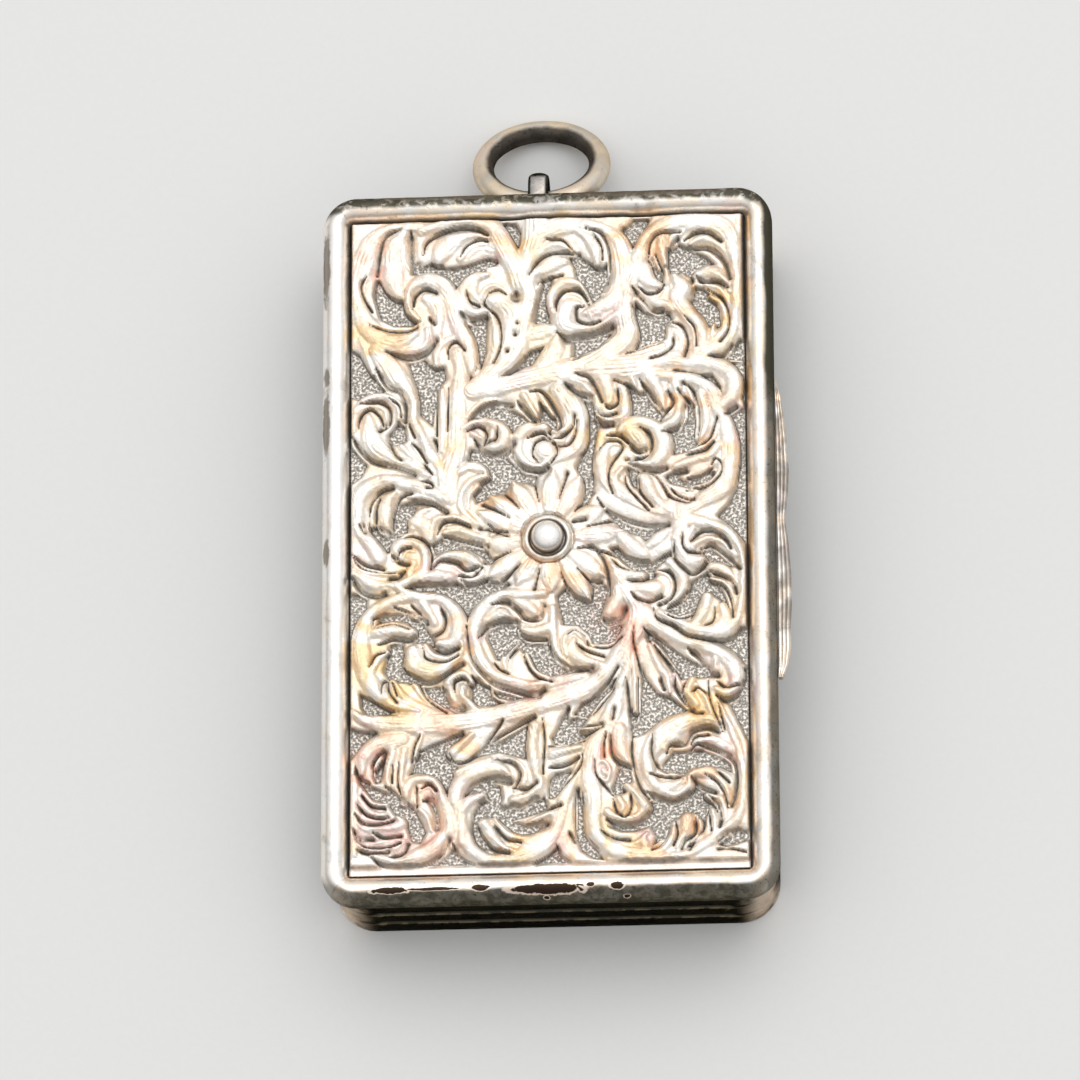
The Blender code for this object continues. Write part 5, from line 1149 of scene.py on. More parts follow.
# Hollows between the leaves: outlines, in steps
HOLLOW_OUTLINES = (
    ((62, 48), (72, 50), (86, 44), (98, 52), (116, 50), (140, 42), (154, 46), (118, 68), (106, 86),
     (104, 78), (96, 66), (84, 60), (62, 58)),
    ((26, 62), (34, 62), (38, 76), (58, 88), (60, 100), (70, 110), (64, 114), (44, 114), (30, 106),
     (23, 80)),
    ((112, 104), (132, 112), (140, 106), (139, 144), (132, 168), (122, 178), (126, 148), (122, 132),
     (114, 118)),
    ((0, 138), (10, 144), (18, 160), (36, 184), (26, 190), (10, 194), (0, 190)),
    ((58, 154), (76, 150), (82, 158), (96, 160), (98, 172), (90, 184), (84, 224), (65, 206), (68, 186)),
    ((154, 3), (170, 6), (176, 18), (172, 50)),
    ((188, 78), (194, 68), (206, 66), (202, 98), (204, 116), (180, 118)),
    ((140, 178), (162, 162), (174, 148), (200, 140), (186, 162), (164, 176)),
    ((222, 44), (234, 42), (254, 58), (262, 52), (264, 64), (254, 90), (244, 98), (230, 68), (228, 56)),
    ((276, 14), (282, 12), (288, 4), (306, 4), (292, 32), (288, 46)),
    ((302, 48), (310, 40), (320, 62), (318, 78), (310, 74), (304, 62)),
    ((322, 40), (334, 32), (364, 48), (372, 56), (358, 58), (348, 78), (346, 70), (338, 64), (326, 68),
     (322, 56)),
    ((350, 80), (360, 82), (370, 92), (376, 106), (378, 124), (372, 126), (364, 124), (358, 112), (344, 98),
     (348, 92)),
    ((284, 94), (290, 96), (300, 106), (314, 110), (324, 106), (328, 114), (322, 120), (320, 136),
     (288, 148), (294, 134), (290, 124), (290, 110), (282, 102)),
    ((226, 134), (246, 134), (260, 128), (268, 130), (256, 148), (242, 152), (234, 160), (220, 164),
     (226, 150)),
    ((0, 242), (18, 264), (12, 276), (2, 284), (0, 280)),
    ((38, 232), (48, 220), (56, 222), (58, 238), (50, 244), (40, 242)),
    ((20, 324), (26, 328), (32, 338), (54, 340), (46, 348), (42, 358), (34, 360), (26, 352), (20, 340)),
    ((50, 308), (60, 306), (68, 310), (58, 338), (44, 340), (42, 328), (44, 316)),
    ((124, 212), (140, 204), (156, 204), (178, 216), (186, 224), (168, 232), (164, 244), (156, 224),
     (142, 218), (130, 219)),
    ((104, 272), (122, 250), (130, 250), (140, 258), (158, 258), (178, 278), (190, 280), (188, 292),
     (180, 288), (164, 286), (158, 296), (128, 308), (124, 300), (132, 288), (142, 280), (130, 268),
     (118, 266), (106, 280)),
    ((84, 238), (90, 238), (95, 246), (94, 254), (90, 254)),
    ((192, 200), (202, 206), (210, 218), (210, 230), (202, 238), (196, 226), (190, 222), (194, 212)),
    ((232, 200), (246, 200), (252, 228), (246, 264), (248, 292), (240, 316), (228, 316), (234, 284),
     (228, 272), (238, 252), (240, 228), (238, 212)),
    ((268, 178), (292, 194), (300, 192), (306, 204), (316, 214), (316, 224), (312, 230), (300, 222),
     (286, 222), (282, 196)),
    ((320, 238), (334, 236), (340, 222), (340, 206), (348, 210), (352, 228), (352, 248), (346, 258),
     (322, 262), (324, 248)),
    ((312, 169), (320, 168), (344, 174), (368, 176), (376, 188), (376, 206), (366, 188), (348, 180),
     (320, 175)),
    ((280, 274), (294, 276), (292, 288), (296, 300), (288, 298), (282, 288)),
    ((328, 280), (338, 290), (366, 280), (370, 284), (362, 294), (346, 299), (324, 292), (318, 284)),
    ((384, 162), (400, 162), (400, 212), (396, 200), (396, 184)),
    ((382, 220), (400, 212), (400, 360), (384, 340), (370, 328), (380, 318), (390, 298), (394, 268),
     (390, 244)),
    ((380, 160), (388, 146), (396, 138), (400, 140), (400, 162)),
    ((82, 352), (94, 344), (138, 358), (148, 372), (142, 374), (134, 366), (120, 358), (100, 358),
     (86, 362)),
    ((58, 378), (52, 386), (38, 392), (42, 384)),
    ((54, 400), (66, 395), (84, 394), (100, 398), (108, 392), (118, 398), (140, 394), (162, 396),
     (126, 420), (118, 434), (112, 420), (100, 408), (84, 402)),
    ((0, 402), (8, 402), (18, 408), (18, 418), (8, 430), (2, 450), (0, 450)),
    ((24, 430), (40, 426), (60, 426), (74, 434), (90, 460), (84, 462), (78, 456), (66, 456), (66, 444),
     (58, 434), (44, 432), (30, 434), (24, 438)),
    ((40, 458), (54, 454), (56, 468), (54, 480), (74, 500), (68, 504), (58, 498), (40, 496), (34, 486)),
    ((140, 444), (152, 438), (170, 438), (170, 450), (178, 458), (188, 460), (202, 458), (206, 476),
     (216, 486), (244, 490), (236, 496), (200, 498), (186, 488), (172, 464), (158, 478), (148, 476),
     (138, 452)),
    ((208, 410), (218, 400), (222, 408), (242, 418), (244, 400), (254, 398), (262, 402), (252, 438),
     (260, 444), (272, 440), (278, 446), (274, 456), (260, 462), (244, 462), (240, 452), (230, 442),
     (214, 440)),
    ((262, 360), (272, 358), (280, 372), (292, 378), (304, 376), (326, 364), (324, 374), (314, 378),
     (308, 384), (312, 388), (304, 396), (298, 398), (300, 388), (284, 384)),
    ((262, 324), (270, 326), (284, 336), (300, 340), (316, 339), (298, 354), (294, 348), (280, 344),
     (272, 338)),
    ((320, 428), (340, 412), (342, 400), (352, 392), (362, 388), (366, 398), (374, 404), (380, 418),
     (386, 446), (380, 430), (372, 418), (364, 412), (352, 418), (346, 430), (332, 434), (322, 432)),
    ((354, 366), (364, 362), (388, 382), (382, 384), (370, 378), (362, 378)),
    ((372, 464), (384, 460), (396, 448), (400, 448), (400, 492), (386, 474)),
    ((296, 446), (304, 450), (316, 462), (346, 484), (362, 490), (362, 500), (332, 502), (324, 494),
     (308, 468), (300, 460)),
    ((74, 504), (86, 502), (92, 504), (96, 518), (114, 530), (112, 538), (104, 536), (82, 518)),
    ((124, 492), (132, 492), (142, 504), (144, 516), (158, 524), (146, 530), (132, 528), (122, 520)),
    ((142, 508), (184, 518), (192, 512), (198, 514), (196, 522), (188, 524), (150, 517)),
    ((10, 508), (52, 532), (66, 534), (66, 539), (20, 536), (12, 524)),
    ((0, 544), (10, 548), (30, 550), (18, 558), (2, 578), (0, 576)),
    ((68, 574), (114, 556), (100, 574), (104, 584), (110, 588), (104, 600), (96, 630), (90, 604), (80, 596),
     (68, 594), (60, 596)),
    ((140, 564), (152, 562), (180, 544), (182, 552), (178, 564), (178, 582), (150, 574), (122, 580)),
    ((24, 598), (26, 584), (38, 572), (32, 602), (26, 604)),
    ((8, 600), (44, 616), (68, 634), (78, 656), (72, 668), (62, 666), (56, 646), (46, 638), (38, 626),
     (22, 620)),
    ((118, 620), (128, 610), (142, 604), (152, 610), (154, 622), (152, 630), (168, 636), (184, 632),
     (196, 620), (200, 636), (164, 646), (174, 654), (194, 652), (188, 660), (174, 662), (162, 658),
     (150, 646), (140, 642), (132, 648), (132, 662), (140, 676), (132, 678), (124, 668), (122, 652),
     (124, 638), (132, 626), (140, 624), (134, 618)),
    ((92, 682), (101, 666), (108, 680), (128, 696), (128, 700), (72, 700), (72, 696)),
    ((200, 604), (206, 598), (224, 596), (212, 616), (204, 624), (198, 624)),
    ((202, 560), (210, 550), (212, 540), (220, 530), (220, 542), (230, 538), (240, 540), (234, 550),
     (250, 552), (244, 558), (220, 568), (206, 568)),
    ((224, 536), (232, 526), (246, 516), (272, 484), (264, 510), (252, 522), (240, 540)),
    ((294, 486), (300, 502), (310, 516), (322, 520), (342, 536), (340, 540), (324, 542), (308, 548),
     (296, 558), (284, 562), (282, 552), (290, 544)),
    ((281, 532), (286, 530), (290, 538), (289, 546), (284, 546)),
    ((324, 578), (354, 576), (370, 582), (382, 592), (384, 602), (372, 596), (356, 594), (342, 596),
     (336, 602), (316, 598), (312, 592)),
    ((270, 592), (282, 596), (284, 608), (278, 612), (276, 620), (266, 622), (262, 618)),
    ((342, 610), (360, 626), (368, 638), (370, 648), (362, 638), (354, 654), (348, 644), (338, 642),
     (318, 654), (316, 668), (308, 678), (302, 680), (306, 666), (300, 656), (286, 660), (272, 660),
     (260, 654), (290, 654), (300, 644), (300, 628), (326, 632), (340, 624)),
    ((227, 616), (232, 612), (235, 620), (235, 664), (256, 690), (244, 688), (232, 680), (228, 670)),
    ((206, 672), (210, 686), (222, 694), (212, 698), (190, 696), (172, 698), (190, 688)),
    ((368, 676), (374, 668), (386, 663), (398, 662), (400, 672), (376, 679)),
    ((332, 680), (350, 666), (346, 678), (338, 683)),
    ((395, 492), (400, 488), (400, 572), (380, 528), (390, 524), (396, 508)),
)
# Veins cut between the leaves: breadth first, then places, in steps
VEINS = (
    (4, (52, 9), (34, 20), (27, 58)),
    (6, (62, 12), (63, 44), (70, 48)),
    (4, (74, 38), (78, 24), (92, 15), (112, 10), (130, 12), (140, 18)),
    (3, (112, 42), (118, 30), (130, 24), (140, 25)),
    (3, (17, 60), (11, 70), (14, 84), (22, 98)),
    (3, (20, 114), (40, 120), (60, 121), (68, 116)),
    (5, (36, 142), (60, 150), (78, 144), (88, 132)),
    (3, (64, 98), (66, 84), (76, 76), (88, 80)),
    (4, (80, 106), (86, 114)),
    (5, (112, 102), (122, 110), (138, 108)),
    (2, (118, 78), (122, 90), (132, 96)),
    (3, (140, 84), (137, 94), (150, 108), (154, 126), (152, 144), (146, 158)),
    (2, (140, 82), (150, 79), (159, 84)),
    (2.4, (100, 152), (100, 140), (108, 134), (117, 144)),
    (7, (169, 82), (169, 88)),
    (3, (170, 116), (170, 116)),
    (4, (168, 128), (168, 128)),
    (4, (160, 145), (160, 146)),
    (4, (182, 64), (190, 50), (202, 41), (220, 39), (234, 42)),
    (2.4, (200, 25), (216, 26), (226, 36)),
    (4, (240, 15), (256, 20), (264, 38), (265, 58), (262, 74)),
    (2, (248, 20), (256, 34), (257, 48)),
    (3, (200, 67), (216, 64)),
    (4, (210, 104), (210, 92), (218, 82), (232, 81), (242, 92)),
    (4, (238, 99), (230, 102), (232, 114), (244, 119), (254, 116)),
    (6, (210, 126), (220, 134), (230, 132), (248, 130), (266, 122)),
    (3, (304, 48), (306, 32), (316, 22), (336, 21)),
    (4, (326, 38), (334, 28)),
    (4, (340, 30), (352, 22), (366, 23), (378, 32)),
    (5, (344, 40), (364, 39), (380, 52), (387, 72)),
    (4, (352, 70), (360, 76), (374, 76), (384, 82)),
    (3, (364, 84), (378, 94), (385, 110), (384, 130), (376, 142)),
    (5, (287, 80), (308, 104), (318, 106)),
    (3, (294, 80), (304, 87), (316, 84), (319, 76)),
    (4, (326, 118), (338, 124), (343, 140), (340, 156)),
    (2.4, (340, 114), (350, 126), (352, 146)),
    (3, (328, 132), (328, 144), (318, 154), (306, 158)),
    (2.4, (280, 152), (314, 141)),
    (4, (364, 157), (380, 156), (388, 146)),
    (5, (26, 160), (38, 180), (52, 188), (57, 204), (56, 218)),
    (2.4, (40, 194), (50, 202), (52, 214)),
    (4, (10, 199), (28, 197), (40, 204), (40, 220), (30, 228)),
    (3, (8, 228), (10, 214), (20, 205), (30, 212), (34, 222)),
    (5, (0, 230), (12, 250), (26, 262), (48, 268), (66, 276)),
    (4, (40, 240), (46, 254), (52, 260)),
    (2.4, (60, 222), (66, 236)),
    (3, (62, 242), (70, 250), (78, 264)),
    (2.4, (84, 278), (76, 266)),
    (3, (88, 184), (88, 234)),
    (2, (100, 184), (99, 230)),
    (3, (72, 284), (82, 286), (84, 291), (78, 292)),
    (4, (20, 320), (22, 306), (32, 294), (44, 290)),
    (4, (27, 328), (27, 312), (30, 302)),
    (4, (46, 314), (52, 300), (62, 297)),
    (5, (56, 308), (70, 306), (86, 310), (98, 318)),
    (5, (30, 332), (36, 337), (46, 340)),
    (5, (120, 220), (132, 208), (148, 202), (164, 204)),
    (5, (170, 200), (188, 222)),
    (3, (118, 232), (130, 226), (139, 234), (136, 246)),
    (2.4, (150, 228), (148, 240), (138, 244)),
    (6, (126, 240), (134, 252), (146, 258), (160, 254), (166, 246)),
    (5, (164, 250), (166, 262), (176, 272), (192, 276), (200, 272)),
    (3, (180, 240), (194, 235), (204, 242)),
    (2.4, (192, 268), (185, 258), (188, 246), (198, 242), (208, 248), (210, 258), (204, 268)),
    (4, (182, 190), (194, 190), (204, 202), (214, 224), (210, 232)),
    (3, (204, 242), (216, 239), (226, 230), (228, 218)),
    (3, (206, 249), (220, 250), (228, 240), (230, 224)),
    (5, (218, 182), (230, 192), (244, 198)),
    (4, (228, 172), (244, 178), (256, 202)),
    (3, (258, 206), (264, 210), (272, 204), (272, 192)),
    (4, (248, 210), (258, 218), (270, 216)),
    (5, (250, 220), (256, 228), (266, 228)),
    (4, (268, 180), (282, 186), (292, 194)),
    (4, (294, 180), (316, 214)),
    (4, (322, 192), (328, 206), (316, 220)),
    (4, (316, 238), (330, 235), (338, 224), (340, 210)),
    (4, (332, 192), (348, 210)),
    (4, (338, 185), (348, 194), (353, 210), (354, 232), (350, 250)),
    (3, (352, 254), (364, 246), (372, 224)),
    (3, (340, 263), (358, 259), (368, 250)),
    (4, (294, 232), (304, 240), (306, 252), (300, 262), (288, 267), (280, 266)),
    (5, (284, 250), (292, 258), (300, 256)),
    (4, (260, 240), (272, 240), (282, 248)),
    (3, (252, 256), (260, 247), (272, 247), (276, 254), (264, 272), (262, 288), (266, 302)),
    (5, (282, 270), (296, 277), (310, 279), (320, 276)),
    (3, (292, 282), (306, 282), (316, 294), (324, 308), (340, 314), (348, 310)),
    (3, (324, 298), (334, 308), (348, 312)),
    (3, (292, 286), (294, 302), (306, 318)),
    (2.4, (278, 282), (282, 298), (302, 322)),
    (5, (250, 306), (260, 320), (278, 330), (300, 337), (322, 337)),
    (5, (326, 282), (340, 280)),
    (4, (340, 288), (356, 286), (366, 278)),
    (2, (340, 301), (360, 298), (374, 286), (376, 274), (370, 268), (366, 274)),
    (4, (380, 220), (392, 212)),
    (4, (4, 362), (16, 372), (34, 377)),
    (2.4, (2, 360), (10, 374), (26, 380), (46, 382)),
    (5, (0, 382), (12, 400), (26, 406), (36, 404)),
    (4, (10, 330), (16, 338), (14, 330)),
    (4, (42, 362), (50, 370), (60, 373)),
    (2, (48, 368), (52, 358), (62, 355)),
    (3, (48, 346), (64, 343), (78, 350), (83, 364), (82, 378)),
    (3, (88, 342), (94, 330), (106, 328), (122, 334)),
    (4, (94, 343), (140, 356)),
    (2.4, (140, 332), (148, 340), (160, 346)),
    (4, (84, 378), (92, 370), (108, 372), (118, 380), (130, 378)),
    (4, (112, 390), (122, 398), (138, 392)),
    (3, (110, 386), (124, 388), (134, 378)),
    (5, (56, 399), (70, 395), (104, 397)),
    (3, (142, 394), (160, 396)),
    (2.4, (44, 418), (60, 424)),
    (2.4, (62, 416), (72, 426)),
    (5, (24, 436), (28, 429), (64, 426), (78, 436)),
    (2, (28, 440), (44, 436), (60, 442)),
    (4, (28, 458), (44, 452), (60, 454), (66, 450)),
    (4, (92, 420), (97, 432), (94, 444), (84, 450)),
    (4, (84, 462), (96, 468), (110, 464)),
    (2.4, (74, 462), (78, 474), (96, 478), (110, 472)),
    (3, (20, 482), (26, 470), (36, 466)),
    (3, (32, 512), (33, 500), (38, 496), (40, 508), (48, 520)),
    (2.4, (44, 500), (48, 512)),
    (3, (70, 500), (80, 518), (98, 532)),
    (5, (54, 484), (70, 496), (86, 498), (114, 480)),
    (7, (94, 504), (98, 518), (106, 526), (114, 528)),
    (3, (106, 510), (106, 500), (116, 496), (124, 506)),
    (5, (118, 440), (122, 470), (132, 488), (146, 502), (166, 510), (186, 516), (196, 510)),
    (5, (130, 454), (138, 442), (152, 437), (168, 436)),
    (5, (144, 419), (158, 415), (170, 424), (178, 434), (192, 434), (196, 420)),
    (4, (170, 442), (174, 452), (184, 456), (198, 456)),
    (2.4, (176, 474), (182, 488), (192, 498), (204, 502)),
    (2.4, (146, 480), (152, 488), (160, 492)),
    (4, (230, 360), (246, 359), (256, 372), (261, 390), (262, 410)),
    (4, (224, 332), (238, 330)),
    (4, (242, 395), (254, 397)),
    (4, (220, 402), (228, 412), (242, 418)),
    (5, (270, 360), (278, 370), (290, 376), (302, 377)),
    (2.4, (264, 372), (274, 382), (292, 386)),
    (2.4, (280, 396), (296, 397), (302, 390)),
    (4, (310, 386), (322, 388), (328, 400), (324, 416), (312, 422)),
    (4, (284, 410), (290, 416), (304, 419), (314, 414)),
    (4, (320, 426), (332, 420), (340, 410)),
    (4, (328, 356), (328, 374), (344, 390), (356, 384), (360, 378)),
    (2.4, (336, 348), (336, 360), (342, 368), (354, 368)),
    (4, (344, 356), (354, 346), (368, 346), (380, 356), (384, 364)),
    (4, (354, 364), (368, 362), (394, 386)),
    (4, (362, 388), (384, 398), (390, 412)),
    (3, (368, 400), (378, 406), (384, 420), (386, 438)),
    (3, (344, 438), (352, 416)),
    (2.4, (368, 426), (366, 440), (358, 446)),
    (4, (306, 426), (310, 438), (326, 446), (344, 458), (382, 462), (394, 450)),
    (2.4, (318, 434), (332, 438), (344, 434)),
    (6, (254, 434), (260, 440), (272, 436), (278, 426)),
    (3, (286, 446), (286, 464), (296, 502), (306, 516)),
    (6, (296, 448), (342, 488)),
    (5, (340, 470), (352, 480), (362, 496), (370, 499)),
    (4, (220, 452), (226, 446), (236, 452), (240, 462)),
    (5, (202, 460), (204, 472), (216, 484), (232, 490), (244, 488)),
    (3, (228, 462), (240, 470), (256, 476)),
    (3, (242, 464), (260, 466), (274, 456)),
    (4, (206, 558), (220, 530)),
    (3, (226, 536), (240, 524), (258, 506), (270, 488)),
    (2.4, (244, 538), (266, 510)),
    (4, (264, 544), (266, 532)),
    (4, (278, 500), (284, 554)),
    (2.4, (290, 500), (290, 538)),
    (3, (234, 550), (254, 548)),
    (3, (224, 562), (240, 558), (254, 550)),
    (2.4, (200, 570), (216, 569), (236, 564)),
    (4, (200, 592), (216, 590), (230, 582)),
    (3, (234, 578), (230, 594), (206, 622)),
    (6, (210, 602), (220, 597)),
    (2.4, (258, 556), (255, 572), (256, 582)),
    (4, (262, 560), (264, 580), (272, 590), (282, 594)),
    (2.4, (246, 586), (248, 602), (264, 622)),
    (4, (284, 558), (283, 578), (286, 598), (292, 616), (300, 626)),
    (4, (304, 560), (303, 578), (308, 592), (318, 599)),
    (3, (300, 602), (326, 606), (334, 602)),
    (5, (318, 580), (322, 572), (336, 570), (344, 558), (358, 554), (370, 558)),
    (3, (342, 572), (346, 564), (360, 562)),
    (5, (340, 578), (352, 572), (382, 586), (388, 604), (386, 624), (382, 636)),
    (6, (298, 620), (310, 628), (326, 632), (340, 624)),
    (5, (342, 606), (352, 616), (366, 622)),
    (2.4, (356, 604), (368, 612), (376, 626), (378, 638)),
    (4, (360, 626), (368, 634), (372, 648), (370, 658)),
    (3, (368, 600), (380, 612)),
    (4, (328, 500), (328, 512), (344, 536), (354, 539)),
    (2.4, (338, 504), (334, 516), (338, 526)),
    (2.4, (344, 516), (350, 512), (358, 518)),
    (2.4, (360, 504), (362, 526), (374, 558)),
    (2.4, (370, 528), (376, 556)),
    (3, (368, 504), (378, 512), (392, 510)),
    (4, (368, 520), (378, 526), (390, 520), (396, 506)),
    (4, (312, 500), (316, 512)),
    (4, (70, 572), (114, 554)),
    (3, (72, 554), (66, 566), (63, 582)),
    (4, (101, 576), (106, 584), (120, 582), (144, 562), (164, 550), (186, 538)),
    (3, (136, 568), (154, 542)),
    (3, (194, 540), (196, 564), (194, 598)),
    (4, (146, 582), (164, 586), (172, 598), (166, 612)),
    (4, (164, 612), (178, 614), (188, 608)),
    (6, (116, 620), (126, 610), (144, 603), (162, 606)),
    (7, (156, 632), (172, 636), (188, 626)),
    (6, (166, 648), (180, 653), (198, 651)),
    (4, (200, 635), (212, 632)),
    (3, (68, 608), (68, 630)),
    (3, (72, 612), (80, 607), (88, 614)),
    (7, (74, 624), (82, 624), (88, 638), (88, 652)),
    (5, (36, 608), (64, 632)),
    (4, (6, 586), (10, 598), (20, 604)),
    (4, (24, 596), (25, 582), (36, 572), (30, 600)),
    (2.4, (44, 586), (43, 604)),
    (2.4, (50, 584), (49, 604), (52, 616)),
    (3, (12, 616), (22, 628), (36, 631)),
    (2.4, (8, 626), (18, 638), (32, 642), (40, 640)),
    (4, (6, 636), (14, 646), (28, 648), (44, 644)),
    (5, (4, 652), (10, 662), (24, 663)),
    (4, (24, 656), (36, 662), (52, 660)),
    (2.4, (6, 662), (18, 672), (40, 672), (52, 668)),
    (4, (8, 674), (20, 678), (40, 677)),
    (4, (40, 683), (54, 680), (60, 668)),
    (5, (22, 682), (36, 692), (60, 695), (80, 690), (94, 680), (101, 666)),
    (5, (104, 670), (110, 684), (124, 692)),
    (4, (128, 650), (134, 664), (144, 676), (160, 681)),
    (3, (146, 652), (158, 666), (172, 670)),
    (2.4, (227, 618), (226, 644), (228, 668)),
    (6, (234, 620), (233, 644), (236, 666), (248, 680)),
    (3, (264, 626), (268, 640), (276, 646), (282, 636), (282, 624)),
    (6, (258, 648), (270, 654), (288, 654), (300, 644)),
    (4, (252, 660), (266, 668), (280, 670)),
    (5, (302, 682), (314, 672), (320, 656)),
    (3, (326, 650), (328, 664), (324, 676)),
    (4, (346, 648), (346, 664), (336, 672), (332, 680)),
    (3, (356, 644), (354, 660), (346, 670), (340, 682)),
    (2.4, (360, 646), (362, 662)),
    (5, (368, 674), (376, 666), (390, 662)),
    (2.4, (364, 682), (380, 681), (396, 685)),
    (5, (208, 674), (210, 684), (220, 692)),
    (4, (220, 660), (226, 670)),
)
# Tips of the petals round the flower, in steps
PETAL_TIPS = (
    (166, 290), (206, 278), (232, 286), (256, 318), (274, 344), (256, 390), (240, 414), (204, 404),
    (170, 396), (142, 388), (138, 354), (132, 320), (144, 304),
)


def in_squares(steps):
    return np.array(steps, float) / STEPS_PER_SQUARE


# Smooth path through the points of a stroke, with its breadth
def smooth_path(p):
    q = np.vstack([2 * p[0] - p[1], p, 2 * p[-1] - p[-2]])
    rows = []
    for a, b, c, d in zip(q, q[1:], q[2:], q[3:]):
        count = max(2, int(np.hypot(*(c - b)[:2]) / PATH_STEP))
        t = np.linspace(0, 1, count, endpoint=False)[:, None]
        bend = (2 * a - 5 * b + 4 * c - d) * t ** 2 + (3 * b - a - 3 * c + d) * t ** 3
        rows.append((2 * b + (c - a) * t + bend) / 2)
    rows.append(p[-1:])
    return np.vstack(rows)


# The part of the panel that lies near these points
def near(points, margin):
    p = np.array(points)[:, :2]
    left, top = p.min(0) - margin
    right, bottom = p.max(0) + margin
    columns = slice(*np.searchsorted(places_across, (left, right)))
    rows = slice(*np.searchsorted(places_down, (top, bottom)))
    return rows, columns


def distance_to_line(x, y, start, end):
    ax, ay = start[:2]
    dx, dy = end[0] - ax, end[1] - ay
    along = np.clip(((x - ax) * dx + (y - ay) * dy) / (dx * dx + dy * dy + NO_LENGTH), 0, 1)
    return np.hypot(x - ax - along * dx, y - ay - along * dy), along


# 1 on a path's centre line and 0 at its edge, and the distance beyond the edge, which grows
# where the path is thin, so that thin cuts have shallow valleys
def path_share(x, y, path):
    best = np.zeros(x.shape)
    beyond = np.full(x.shape, FAR)
    for start, end in zip(path, path[1:]):
        distance, along = distance_to_line(x, y, start, end)
        half = np.maximum(start[2] + along * (end[2] - start[2]), LEAST_BREADTH) / 2
        loss = VALLEY_BREADTH * (VALLEY_LOSS - VALLEY_GAIN * half).clip(0)
        best = np.maximum(best, 1 - distance / half)
        beyond = np.minimum(beyond, np.maximum(distance - half, 0) + loss)
    return best, beyond


# Distance to the nearest hollow of the ground, negative inside it
def pocket_distance():
    result = np.full(across.shape, FAR)
    for outline in map(in_squares, HOLLOW_OUTLINES):
        area = near(outline, HOLLOW_MARGIN)
        x, y = across[area], down[area]
        best = np.full(x.shape, FAR)
        inside = np.zeros(x.shape, bool)
        for start, end in zip(outline, np.roll(outline, -1, axis=0)):
            best = np.minimum(best, distance_to_line(x, y, start, end)[0])
            rise = end[1] - start[1]
            if rise:
                crossing = start[0] + (y - start[1]) * (end[0] - start[0]) / rise
                inside ^= ((start[1] > y) != (end[1] > y)) & (x < crossing)
        result[area] = np.minimum(result[area], np.where(inside, -best, best))
    return result


# Each petal is broadest short of its tip, and a cut widens outwards between it and the next
def petal_paths():
    centre = np.array(FLOWER_CENTRE)
    petals = []
    cuts = []
    tips = in_squares(PETAL_TIPS)
    for tip, after in zip(tips, np.roll(tips, -1, axis=0)):
        reach = np.hypot(*(tip - centre))
        along = (tip - centre) / reach
        places = np.array([(*(centre + along * reach * gone), breadth) for gone, breadth in PETAL_SHAPE])
        petals.append((PETAL_TOP, places))
        between = (tip + after) / 2 - centre
        cuts.append(np.array([(*(centre + between * gone), breadth) for gone, breadth in PETAL_CUT]))
    return petals, cuts


def rounded(share):
    return np.sqrt(1 - (1 - share) ** 2)


# Mean of the neighbours within a reach counted in samples, along both ways
def blurred(field, reach):
    kernel = np.hanning(2 * reach + 3)[1:-1]
    kernel /= kernel.sum()
    padded = np.pad(field, reach, mode="edge")
    rows = np.apply_along_axis(np.convolve, 1, padded, kernel, mode="valid")
    return np.apply_along_axis(np.convolve, 0, rows, kernel, mode="valid")


# Uneven surface left by hand tools: smooth bumps about 0 with the given reach
def uneven(reach):
    field = blurred(tool_marks, reach)
    return (field - field.mean()) / field.std()


# Broad forms round the hollows, as a share of the relief's height
def raise_forms(gap):
    edge = np.clip((gap + HOLLOW_LEAN) / EDGE_BREADTH, 0, 1)
    swell = np.clip(gap / SWELL_BREADTH, 0, 1)
    return np.where(gap < -HOLLOW_LEAN, 0, EDGE_SHARE * rounded(edge) + SWELL_SHARE * rounded(swell))


# Leaves and petals on them, with fine lines along each
def raise_leaves(height, gap, leaves):
    strength = np.clip(0.5 + 0.5 * uneven(SAMPLES // 2), 0, 1)
    for top, points in leaves:
        path = smooth_path(points) * (1, 1, LEAF_SPREAD)
        area = near(path, LEAF_MARGIN)
        share = path_share(across[area], down[area], path)[0]
        lines = sum(np.exp(-((share - level) / LEAF_LINE_WIDTH) ** 2) for level in LEAF_LINES)
        crown = CROWN_FOOT + (1 - CROWN_FOOT) * rounded(np.minimum(share * CROWN_FLATNESS, 1))
        crown = top * crown - LEAF_LINE_DEPTH * lines * strength[area]
        over_hollow = np.clip((gap[area] + LEAF_OVERHANG) / OVERHANG_FADE, 0, 1)
        crown = np.where(share > 0, crown, 0) * over_hollow
        height[area] = np.maximum(height[area], crown)


# Veins cut into the leaves, each in a shallow valley and fine at its start
def cut_veins(height, cuts):
    valley = np.zeros(height.shape)
    groove = np.zeros(height.shape)
    for points in cuts:
        path = smooth_path(points)
        gone = np.linspace(0, 1, len(path))
        path[:, 2] *= VEIN_SPREAD * np.clip(VEIN_GROWTH * gone * (VEIN_RUN - gone), VEIN_TIP, 1)
        area = near(path, VEIN_MARGIN)
        share, beyond = path_share(across[area], down[area], path)
        side = np.clip(1 - beyond / VALLEY_BREADTH, 0, 1)
        groove[area] = np.maximum(groove[area], share ** VEIN_FULLNESS)
        valley[area] = np.maximum(valley[area], 1 - rounded(1 - side))
    height = height * (1 - VALLEY_DEPTH * valley)
    return height - np.minimum(height, VEIN_DEPTH) * groove


